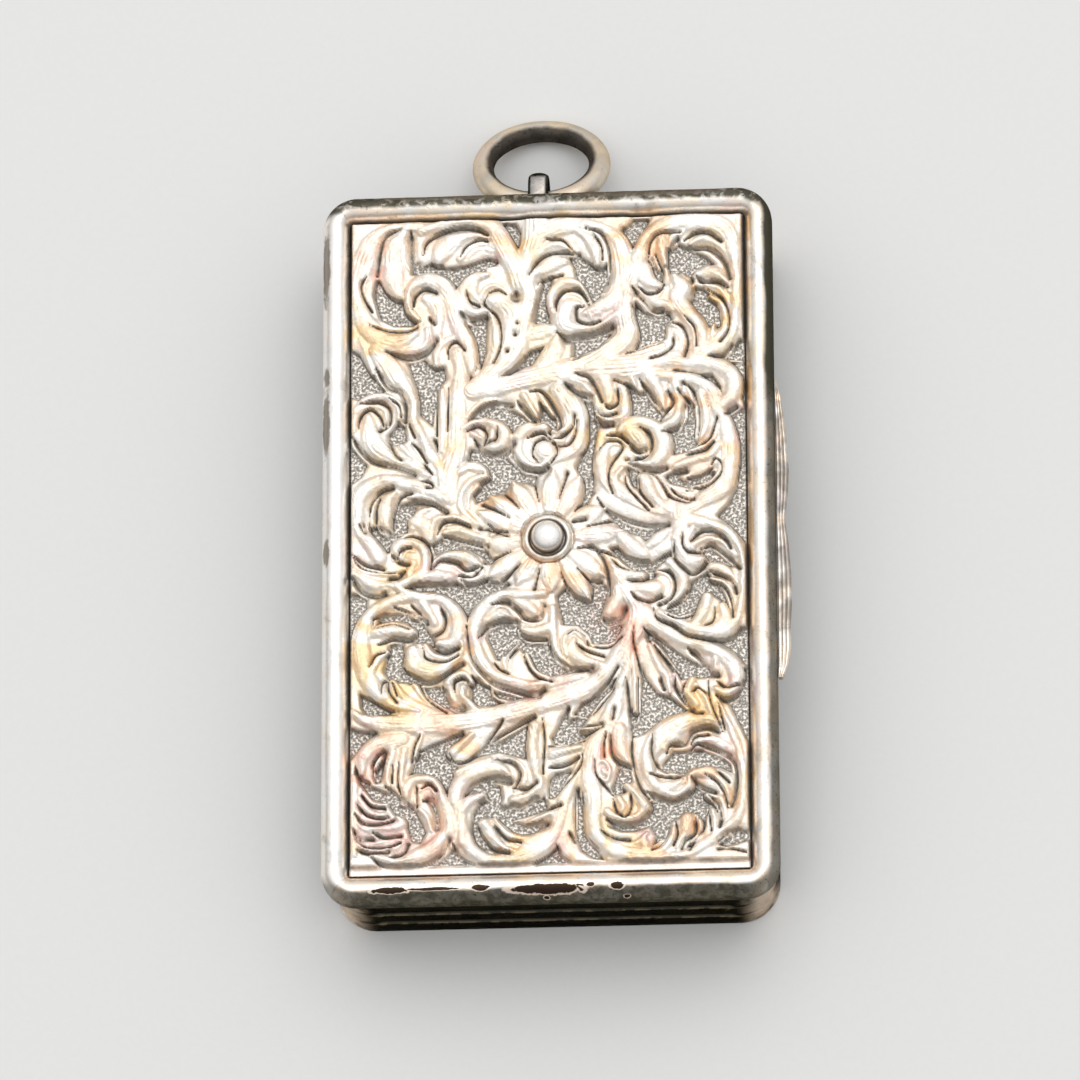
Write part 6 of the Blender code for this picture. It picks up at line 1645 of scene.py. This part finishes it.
# Height of the relief as a share, with the ground at 0 and a plain band along the front
def carve_relief():
    gap = pocket_distance()
    height = raise_forms(gap)
    petals, petal_cuts = petal_paths()
    leaves = [(stroke[0], in_squares(stroke[1:])) for stroke in LEAF_STROKES]
    raise_leaves(height, gap, leaves + petals)
    veins = [in_squares([(x, y, breadth) for x, y in points]) for breadth, *points in VEINS]
    height = cut_veins(height, veins + petal_cuts)
    height += height * (WAVE_DEPTH * uneven(SAMPLES // 2) + TOOL_MARK_DEPTH * uneven(2))
    foot = np.clip((down - SQUARES_DOWN + FOOT_BAND) / FOOT_RISE, 0, 1)
    return height * np.clip(from_border / BORDER_GROOVE, 0, 1) * (1 - foot) + FOOT_HEIGHT * foot


# Sum of soft round stains
def stains_at(places):
    total = np.zeros(across.shape)
    for x, y, spread in places:
        total += np.exp(-((across - x) ** 2 + (down - y) ** 2) / spread ** 2)
    return np.clip(total, 0, 1)


# Where dirt and painted shade lie, where the ground is matted, and where the warm stains are
def surface_masks(height):
    fall = np.gradient(height)[0] * -SAMPLES
    crease = np.clip((blurred(height, SAMPLES // 5) - height) * CREASE_GAIN - CREASE_START, 0, 1)
    hollow_dirt_and_shade = (blurred(height, SAMPLES // 2) - height) * HOLLOW_GAIN - HOLLOW_START
    # Painted shade: the hollows are darker where the surface falls to the front
    turned_away = np.clip(HOLLOW_FLAT_SHARE + HOLLOW_FALL_SHARE * fall, HOLLOW_LEAST_SHARE, 1)
    hollow_dirt_and_shade = np.clip(hollow_dirt_and_shade, 0, HOLLOW_MOST) * turned_away
    # Painted shade on the slopes that fall to the front
    front = np.clip((fall - FALL_START) / FALL_RANGE, 0, FALL_MOST)
    foot = down > SQUARES_DOWN - FOOT_BAND
    # Tarnish film and painted shade in a thin band along the rim
    border = from_border < BORDER_FILM_AND_SHADE_WIDTH
    ground = np.clip((GROUND_TOP - height) / GROUND_FADE, 0, 1) * ~foot
    film = np.maximum(FOOT_FILM * foot, BORDER_FILM_AND_SHADE * border)
    gold = np.clip(GOLD_FILM + GOLD_SHARE * stains_at(GOLD_PLACES), 0, 1) * (1 - ground) * ~foot
    return {"hollow_dirt_and_shade": np.maximum.reduce([crease, hollow_dirt_and_shade, front, film]), "ground": ground,
            "gold": gold, "pink": np.maximum(stains_at(PINK_PLACES), PINK_FOOT * foot)}


def build_panel(height, material):
    panel_low, panel_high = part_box("lid_panel")
    x = panel_low.x + across / SQUARES_ACROSS * (panel_high.x - panel_low.x)
    y = panel_high.y - down / SQUARES_DOWN * (panel_high.y - panel_low.y)
    from_flower = np.hypot(across - FLOWER_CENTRE[0], down - FLOWER_CENTRE[1])
    z = PANEL_GROUND + RELIEF_HEIGHT * height
    z = np.where(from_flower < PAD_RADIUS_SHARE, np.minimum(z, PANEL_PAD), z)
    rows, columns = z.shape
    top = np.stack([x, y, z], axis=-1).reshape(-1, 3)
    index = np.arange(rows * columns).reshape(rows, columns)
    corners = (index[:-1, :-1], index[1:, :-1], index[1:, 1:], index[:-1, 1:])
    quads = np.stack(corners, axis=-1).reshape(-1, 4)
    rim = np.concatenate([index[0, :-1], index[:-1, -1], index[-1, :0:-1], index[:0:-1, 0]])
    foot = top[rim].copy()
    foot[:, 2] = panel_low.z
    below = len(top) + np.arange(len(rim))
    sides = np.stack([rim, np.roll(rim, -1), np.roll(below, -1), below], axis=-1)
    mesh = bpy.data.meshes.new("relief_panel")
    faces = quads.tolist() + sides.tolist() + [below[::-1].tolist()]
    mesh.from_pydata(np.vstack([top, foot]).tolist(), [], faces)
    smooth = np.zeros(len(faces), bool)
    smooth[:len(quads)] = True
    mesh.polygons.foreach_set("use_smooth", smooth)
    for label, field in surface_masks(height).items():
        values = np.concatenate([field.ravel(), field.ravel()[rim]]).astype(np.float32)
        mesh.attributes.new(label, "FLOAT", "POINT").data.foreach_set("value", values)
    mesh.materials.append(material)
    panel = bpy.data.objects.new("relief_panel", mesh)
    bpy.context.scene.collection.objects.link(panel)
    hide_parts("lid_panel")
    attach(panel, "lid")


# Dirt and painted shade fill the hollows with a ragged edge, and dirt lies between the punch
# marks of the ground
def panel_dirt_and_shade(tree):
    place = object_place(tree)
    hollow_dirt_and_shade = attribute(tree, "hollow_dirt_and_shade")
    matting = fade(tree, grain(tree, place, size=0.15 * MM, detail=2.0), 0.42, 0.66, 0.8, 0.14)
    ground = times(tree, attribute(tree, "ground"), matting)
    dirt_and_shade = plus(tree, hollow_dirt_and_shade, wobble(tree, place, size=0.3 * MM, amount=0.35))
    return larger(tree, fade(tree, dirt_and_shade, 0.14, 1.08), ground)


def panel_tint(tree):
    return attribute(tree, "gold")


# Patches that old polish and damp have stained pink
def panel_pink(tree, colour):
    place = object_place(tree)
    patchy = fade(tree, grain(tree, place, size=1.0 * MM, detail=4.0, distortion=0.5), 0.38, 0.6)
    amount = times(tree, attribute(tree, "pink"), patchy)
    return mix_colours(tree, amount, colour, PINK_STAIN, blend="MULTIPLY")


places_across = np.linspace(0, SQUARES_ACROSS, SQUARES_ACROSS * SAMPLES + 1)
places_down = np.linspace(0, SQUARES_DOWN, SQUARES_DOWN * SAMPLES + 1)
across, down = np.meshgrid(places_across, places_down)
from_border = np.minimum(np.minimum(across, SQUARES_ACROSS - across), down)
tool_marks = np.random.default_rng(TOOL_MARK_SEED).random(across.shape)
relief_silver = silver_finish("relief_silver", RELIEF_SILVER, RELIEF_DIRT_AND_SHADE, panel_dirt_and_shade, tint=panel_tint,
                              speckle=0.16, polish=0.4, bump_depth=0.045 * MM, stain=panel_pink)
build_panel(carve_relief(), relief_silver)

# Flower centre
# A turned collar and a domed stud, both of silver, are soldered on the flat middle of the
# petals. The stud is rubbed bright and painted near white as a highlight, and it is darker
# round its foot.
stud_low, stud_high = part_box("flower_stud")
collar_low, collar_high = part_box("flower_collar")
TURN_STEPS = 64
STUD_FOOT = 0.5 * MM
STUD_FOOT_SHARE = 0.9
STUD_NECK_SHARE = 0.93
STUD_NECK_HEIGHT = 0.6
STUD_DEGREES = range(-20, 91, 6)
STUD_PALE_DEPTH = 0.28 * MM
STUD_DARK_DEPTH = 0.55 * MM
COLLAR_BORE = 0.98 * MM
COLLAR_BORE_HEIGHT = 0.45
COLLAR_EDGE_HEIGHT = 0.3
COLLAR_DEGREES = range(165, -1, -15)
WELD_DISTANCE = 0.0001 * MM


# A body turned on an upright axis; each profile point is a radius and a height
def turned(name, middle, profile, material, looped=False):
    sections = []
    for step in range(TURN_STEPS):
        angle = math.tau * step / TURN_STEPS
        out = Vector((math.cos(angle), math.sin(angle), 0))
        sections.append([middle + out * radius + Vector((0, 0, z)) for radius, z in profile])
    bm = bmesh.new()
    rows = [[bm.verts.new(point) for point in section] for section in sections]
    count = len(profile)
    for first, second in zip(rows, rows[1:] + rows[:1]):
        for index in range(count if looped else count - 1):
            after = (index + 1) % count
            bm.faces.new((first[index], first[after], second[after], second[index]))
    bmesh.ops.remove_doubles(bm, verts=bm.verts, dist=WELD_DISTANCE)
    return new_mesh_object(name, bm, material)


def build_stud(material):
    radius = (stud_high.x - stud_low.x) / 2
    middle = Vector(((stud_low.x + stud_high.x) / 2, (stud_low.y + stud_high.y) / 2, stud_low.z))
    dome = stud_high.z - stud_low.z - STUD_FOOT
    profile = [(0, 0), (radius * STUD_FOOT_SHARE, 0)]
    profile.append((radius * STUD_NECK_SHARE, STUD_FOOT * STUD_NECK_HEIGHT))
    for degrees in STUD_DEGREES:
        angle = math.radians(degrees)
        profile.append((radius * math.cos(angle), STUD_FOOT + dome * math.sin(angle)))
    profile.append((0, STUD_FOOT + dome))
    stud = turned("flower_dome", middle, profile, material)
    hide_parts("flower_stud")
    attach(stud, "lid")


def build_collar(material):
    outer = (collar_high.x - collar_low.x) / 2
    middle = Vector(((stud_low.x + stud_high.x) / 2, (stud_low.y + stud_high.y) / 2, collar_low.z))
    rise = collar_high.z - collar_low.z
    profile = [(COLLAR_BORE, 0), (COLLAR_BORE, COLLAR_BORE_HEIGHT * rise)]
    half = (outer - COLLAR_BORE) / 2
    for degrees in COLLAR_DEGREES:
        angle = math.radians(degrees)
        height = COLLAR_EDGE_HEIGHT + (1 - COLLAR_EDGE_HEIGHT) * math.sin(angle)
        profile.append((COLLAR_BORE + half + half * math.cos(angle), rise * height))
    profile.append((outer, 0))
    collar = turned("flower_ring", middle, profile, material, looped=True)
    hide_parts("flower_collar")
    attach(collar, "lid")


# Darker towards the foot of the stud, and in faint clouds
def stud_darkening(tree):
    place = object_place(tree)
    height = split(tree, place)["Z"]
    foot = fade(tree, height, stud_high.z - STUD_PALE_DEPTH, stud_high.z - STUD_DARK_DEPTH)
    cloud = fade(tree, grain(tree, place, size=0.7 * MM, detail=5.0), 0.60, 0.75, 0.0, 0.25)
    return larger(tree, foot, cloud)


def collar_dirt(tree):
    place = object_place(tree)
    return fade(tree, grain(tree, place, size=0.8 * MM, detail=5.0), 0.35, 0.65, 0.06, 0.4)


# The stud's near white colour is a painted highlight
stud_silver = silver_finish("stud_silver", HIGHLIGHT_WHITE_SILVER, RELIEF_DIRT_AND_SHADE, stud_darkening, tint=0.15, speckle=0.1,
                            polish=0.12, bump_depth=0.01 * MM)
collar_silver = silver_finish("collar_silver", RELIEF_SILVER, RELIEF_DIRT_AND_SHADE, collar_dirt, tint=0.5,
                              speckle=0.25, polish=0.3, bump_depth=0.012 * MM)
build_stud(stud_silver)
build_collar(collar_silver)

# Thumbpiece
# A strip of silver filed to two long lobes and ribbed lengthwise. It is soldered on the
# lid's free edge, where a thumb lifts it.
thumb_low, thumb_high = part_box("thumbpiece")
THUMB_STEPS = 120
THUMB_RIBS = 3
THUMB_RIB_DEPTH = 0.07 * MM
THUMB_LEAST_REACH = 0.12
THUMB_FACE_ROWS = 10
THUMB_FACE_REACH = 0.93
THUMB_EDGE = ((0.9, 0.0), (1.0, 0.3), (1.0, 0.75))

# The outline gives how far along the strip each place is, and how far out its edge lies
THUMB_OUTLINE_SHARES = (
    (0.0, 0.0), (0.04, 0.35), (0.1, 0.55), (0.2, 0.78), (0.3, 0.9), (0.38, 0.82), (0.47, 0.6),
    (0.55, 0.82), (0.65, 0.98), (0.75, 1.0), (0.83, 0.88), (0.9, 0.9), (0.96, 0.7), (1.0, 0.3),
)


def thumb_reach(share):
    places, reaches = zip(*THUMB_OUTLINE_SHARES)
    return max(THUMB_LEAST_REACH, float(np.interp(share, places, reaches)))


def build_thumbpiece(material):
    sections = []
    deep = thumb_high.z - thumb_low.z
    for step in range(THUMB_STEPS + 1):
        share = step / THUMB_STEPS
        reach = thumb_reach(share) * (thumb_high.x - thumb_low.x)
        y = thumb_high.y - share * (thumb_high.y - thumb_low.y)
        section = [(thumb_low.x, y, thumb_low.z)]
        section += [(thumb_low.x + reach * out, y, thumb_low.z + deep * up) for out, up in THUMB_EDGE]
        for row in range(THUMB_FACE_ROWS):
            gone = row / (THUMB_FACE_ROWS - 1)
            rib = abs(math.sin(gone * THUMB_RIBS * math.radians(180)))
            z = thumb_high.z - THUMB_RIB_DEPTH * (1 - rib)
            section.append((thumb_low.x + reach * THUMB_FACE_REACH * (1 - gone), y, z))
        sections.append(section)
    thumb = loft("thumb_lobes", sections, False, material)
    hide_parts("thumbpiece")
    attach(thumb, "lid")


thumb_silver = silver_finish("thumb_silver", BRIGHT_SILVER, RELIEF_DIRT_AND_SHADE, even_dirt, tint=0.4, speckle=0.2,
                             polish=0.2, bump_depth=0.012 * MM)
build_thumbpiece(thumb_silver)

# Ring lug
# A half-round strip of silver bent to a loop and soldered to the end of the wall. The
# ring has rubbed its back bright, and its edges and bend are painted dark as shade over
# patchy tarnish.
lug_low, lug_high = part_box("ring_lug")
LUG_BEND_STEPS = 28
LUG_SECTION_STEPS = 12
LUG_THICKNESS = 0.35 * MM
LUG_EDGE_SHARE = 0.25


def build_lug(material):
    middle_x = (lug_low.x + lug_high.x) / 2
    middle_z = (lug_low.z + lug_high.z) / 2
    outer = (lug_high.z - lug_low.z) / 2
    inner = outer - LUG_THICKNESS
    bend_y = lug_high.y - outer
    half = (lug_high.x - lug_low.x) / 2
    path = [(lug_low.y, middle_z + inner, 0.0, 1.0)]
    for step in range(LUG_BEND_STEPS + 1):
        angle = math.radians(90 - 180 * step / LUG_BEND_STEPS)
        out_y, out_z = math.cos(angle), math.sin(angle)
        path.append((bend_y + inner * out_y, middle_z + inner * out_z, out_y, out_z))
    path.append((lug_low.y, middle_z - inner, 0.0, -1.0))
    sections = []
    for y, z, out_y, out_z in path:
        section = []
        for step in range(LUG_SECTION_STEPS + 1):
            angle = math.pi * step / LUG_SECTION_STEPS
            out = LUG_THICKNESS * (LUG_EDGE_SHARE + (1 - LUG_EDGE_SHARE) * math.sin(angle))
            section.append((middle_x + half * math.cos(angle), y + out * out_y, z + out * out_z))
        section += [(middle_x - half, y, z), (middle_x + half, y, z)]
        sections.append(section)
    lug = loft("ring_loop", sections, False, material)
    across = [math.cos(math.pi * step / LUG_SECTION_STEPS) for step in range(LUG_SECTION_STEPS + 1)]
    mark(lug, "edge", [abs(value) for value in across] + [1.0, 1.0])
    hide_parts("ring_lug")
    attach(lug, "case")


# Painted shade on the edges and on the bend that turns away from the light, over patchy tarnish
def lug_shade_and_tarnish(tree):
    edges = fade(tree, attribute(tree, "edge"), 0.5, 0.85, 0.0, 0.95)
    facing = split(tree, add_node(tree, "TexCoord").outputs["Normal"])
    bend = fade(tree, facing["Y"], 0.35, 0.75, 0.0, 0.95)
    return larger(tree, larger(tree, edges, bend), even_dirt(tree, 0.55))


lug_silver = silver_finish("lug_silver", BRIGHT_SILVER, BLACK_TARNISH_AND_SHADE, lug_shade_and_tarnish, tint=0.2, speckle=0.3,
                           polish=0.2, bump_depth=0.01 * MM)
build_lug(lug_silver)

# Hanging ring
# A plain ring of round wire, passed through the lug and soldered shut. It is smooth
# from wear and has a warm grey film, and the inner side of the wire is painted dark as shade.
RING_STEPS = 144
WIRE_STEPS = 32
RING_WIRE_RADIUS = 0.63 * MM
RING_WEAR = 0.03
RING_WEAR_PLACES = 2.5
RING_SILVER = (0.77, 0.69, 0.58)
# Film, also the painted shade on the inner side of the wire
RING_FILM_AND_SHADE = (0.06, 0.052, 0.045)


# The ring takes its middle and tilt from the CAD ring's points
def build_ring(material):
    points = np.array([vert.co for vert in nodes["suspension_ring"].data.vertices], float)
    middle = Vector(points.mean(0))
    axes = np.linalg.svd(points - points.mean(0), full_matrices=False)[2]
    first, second, upright = (Vector(axis) for axis in axes)
    radius = max((point - np.array(middle)) @ axes[0] for point in points) - RING_WIRE_RADIUS
    sections = []
    for step in range(RING_STEPS):
        turn = math.tau * step / RING_STEPS
        out = first * math.cos(turn) + second * math.sin(turn)
        section = []
        for wire_step in range(WIRE_STEPS):
            angle = math.tau * wire_step / WIRE_STEPS
            thick = RING_WIRE_RADIUS * (1 - RING_WEAR * abs(noise.noise(out * RING_WEAR_PLACES)))
            place = middle + out * (radius + thick * math.cos(angle)) + upright * (thick * math.sin(angle))
            section.append(place)
        sections.append(section)
    ring = loft("hanging_ring", sections, True, material)
    mark(ring, "inside", [-math.cos(math.tau * wire_step / WIRE_STEPS) for wire_step in range(WIRE_STEPS)])
    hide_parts("suspension_ring")
    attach(ring, "ring")


# Painted shade on the inner side of the wire with a ragged edge; outside only a thin film
def ring_shade_and_film(tree):
    place = object_place(tree)
    inside = plus(tree, attribute(tree, "inside"), wobble(tree, place, size=1.2 * MM, amount=0.5))
    return larger(tree, fade(tree, inside, 0.0, 0.6, 0.0, 0.92), even_dirt(tree, 0.15))


ring_silver = silver_finish("ring_silver", RING_SILVER, RING_FILM_AND_SHADE, ring_shade_and_film, tint=0.35, speckle=0.2,
                            polish=0.26, bump_depth=0.012 * MM)
build_ring(ring_silver)

# Table top
# A plain pale sheet with a fine grain lies under the box. It isn't part of the box and
# only catches its shadow.
TABLE_SIZE = 1.6
TABLE_GREY = (0.74, 0.74, 0.73)
TABLE_MOTTLE = 1.04
TABLE_ROUGHNESS = 0.9


def build_table():
    bpy.ops.mesh.primitive_plane_add(size=TABLE_SIZE, location=(0, 0, 0))
    table = bpy.context.object
    table.name = "table_top"
    material, tree, shader = start_material("table_paper", metallic=0.0)
    place = object_place(tree)
    tone = grain(tree, place, size=0.4 * MM, detail=3.0)
    paler = tuple(value * TABLE_MOTTLE for value in TABLE_GREY)
    tree.links.new(mix_colours(tree, tone, TABLE_GREY, paler), shader.inputs["Base Color"])
    shader.inputs["Roughness"].default_value = TABLE_ROUGHNESS
    table.data.materials.append(material)


build_table()

# Lights and camera
# A broad soft light hangs over the box and a little behind it, in a pale room that is
# darker on the near side.
LIGHT_DISTANCE = 0.6
LIGHT_SIZE = 0.5
LIGHT_POWER = 0.92
LIGHT_DIRECTION = Vector((0.08, 0.3, 0.9))
ROOM_LOW = (0.32, 0.32, 0.32)
ROOM_HIGH = (1.0, 1.0, 1.0)
CAMERA_TARGET = Vector((-0.64, 0.83, 5.0)) * MM
CAMERA_DISTANCE = 451.7 * MM
CAMERA_ELEVATION = math.radians(72.18)
CAMERA_SWING = math.radians(13.59)
CAMERA_ROLL = math.radians(-14.48)
CAMERA_LENS = 264.3
CAMERA_SENSOR = 36
CAMERA_CLIP = 0.01


def build_room():
    world = bpy.data.worlds.new("pale_room")
    bpy.context.scene.world = world
    world.use_nodes = True
    tree = world.node_tree
    way = add_node(tree, "TexCoord").outputs["Generated"]
    towards = tuple(LIGHT_DIRECTION.normalized())
    rise = add_node(tree, "VectorMath", {0: way, 1: towards}, operation="DOT_PRODUCT").outputs["Value"]
    colour = mix_colours(tree, fade(tree, rise, -0.1, 0.85), ROOM_LOW, ROOM_HIGH)
    tree.links.new(colour, tree.nodes["Background"].inputs["Color"])


def build_light():
    lamp = bpy.data.lights.new("soft_light", "AREA")
    lamp.shape = "SQUARE"
    lamp.size = LIGHT_SIZE
    lamp.energy = LIGHT_POWER
    item = bpy.data.objects.new("soft_light", lamp)
    direction = LIGHT_DIRECTION.normalized()
    item.location = direction * LIGHT_DISTANCE
    item.rotation_euler = direction.to_track_quat("Z", "Y").to_euler()
    bpy.context.scene.collection.objects.link(item)


def build_camera():
    data = bpy.data.cameras.new("photo_view")
    data.sensor_width = CAMERA_SENSOR
    data.lens = CAMERA_LENS
    data.clip_start = CAMERA_CLIP
    camera = bpy.data.objects.new("photo_view", data)
    flat = math.cos(CAMERA_ELEVATION)
    back_x = math.sin(CAMERA_SWING) * flat
    back_y = -math.cos(CAMERA_SWING) * flat
    back = Vector((back_x, back_y, math.sin(CAMERA_ELEVATION)))
    camera.location = CAMERA_TARGET + back * CAMERA_DISTANCE
    turn = back.to_track_quat("Z", "Y") @ Quaternion((0, 0, 1), CAMERA_ROLL)
    camera.rotation_mode = "QUATERNION"
    camera.rotation_quaternion = turn
    bpy.context.scene.collection.objects.link(camera)
    bpy.context.scene.camera = camera


build_room()
build_light()
build_camera()
bpy.context.scene.view_settings.view_transform = "Standard"
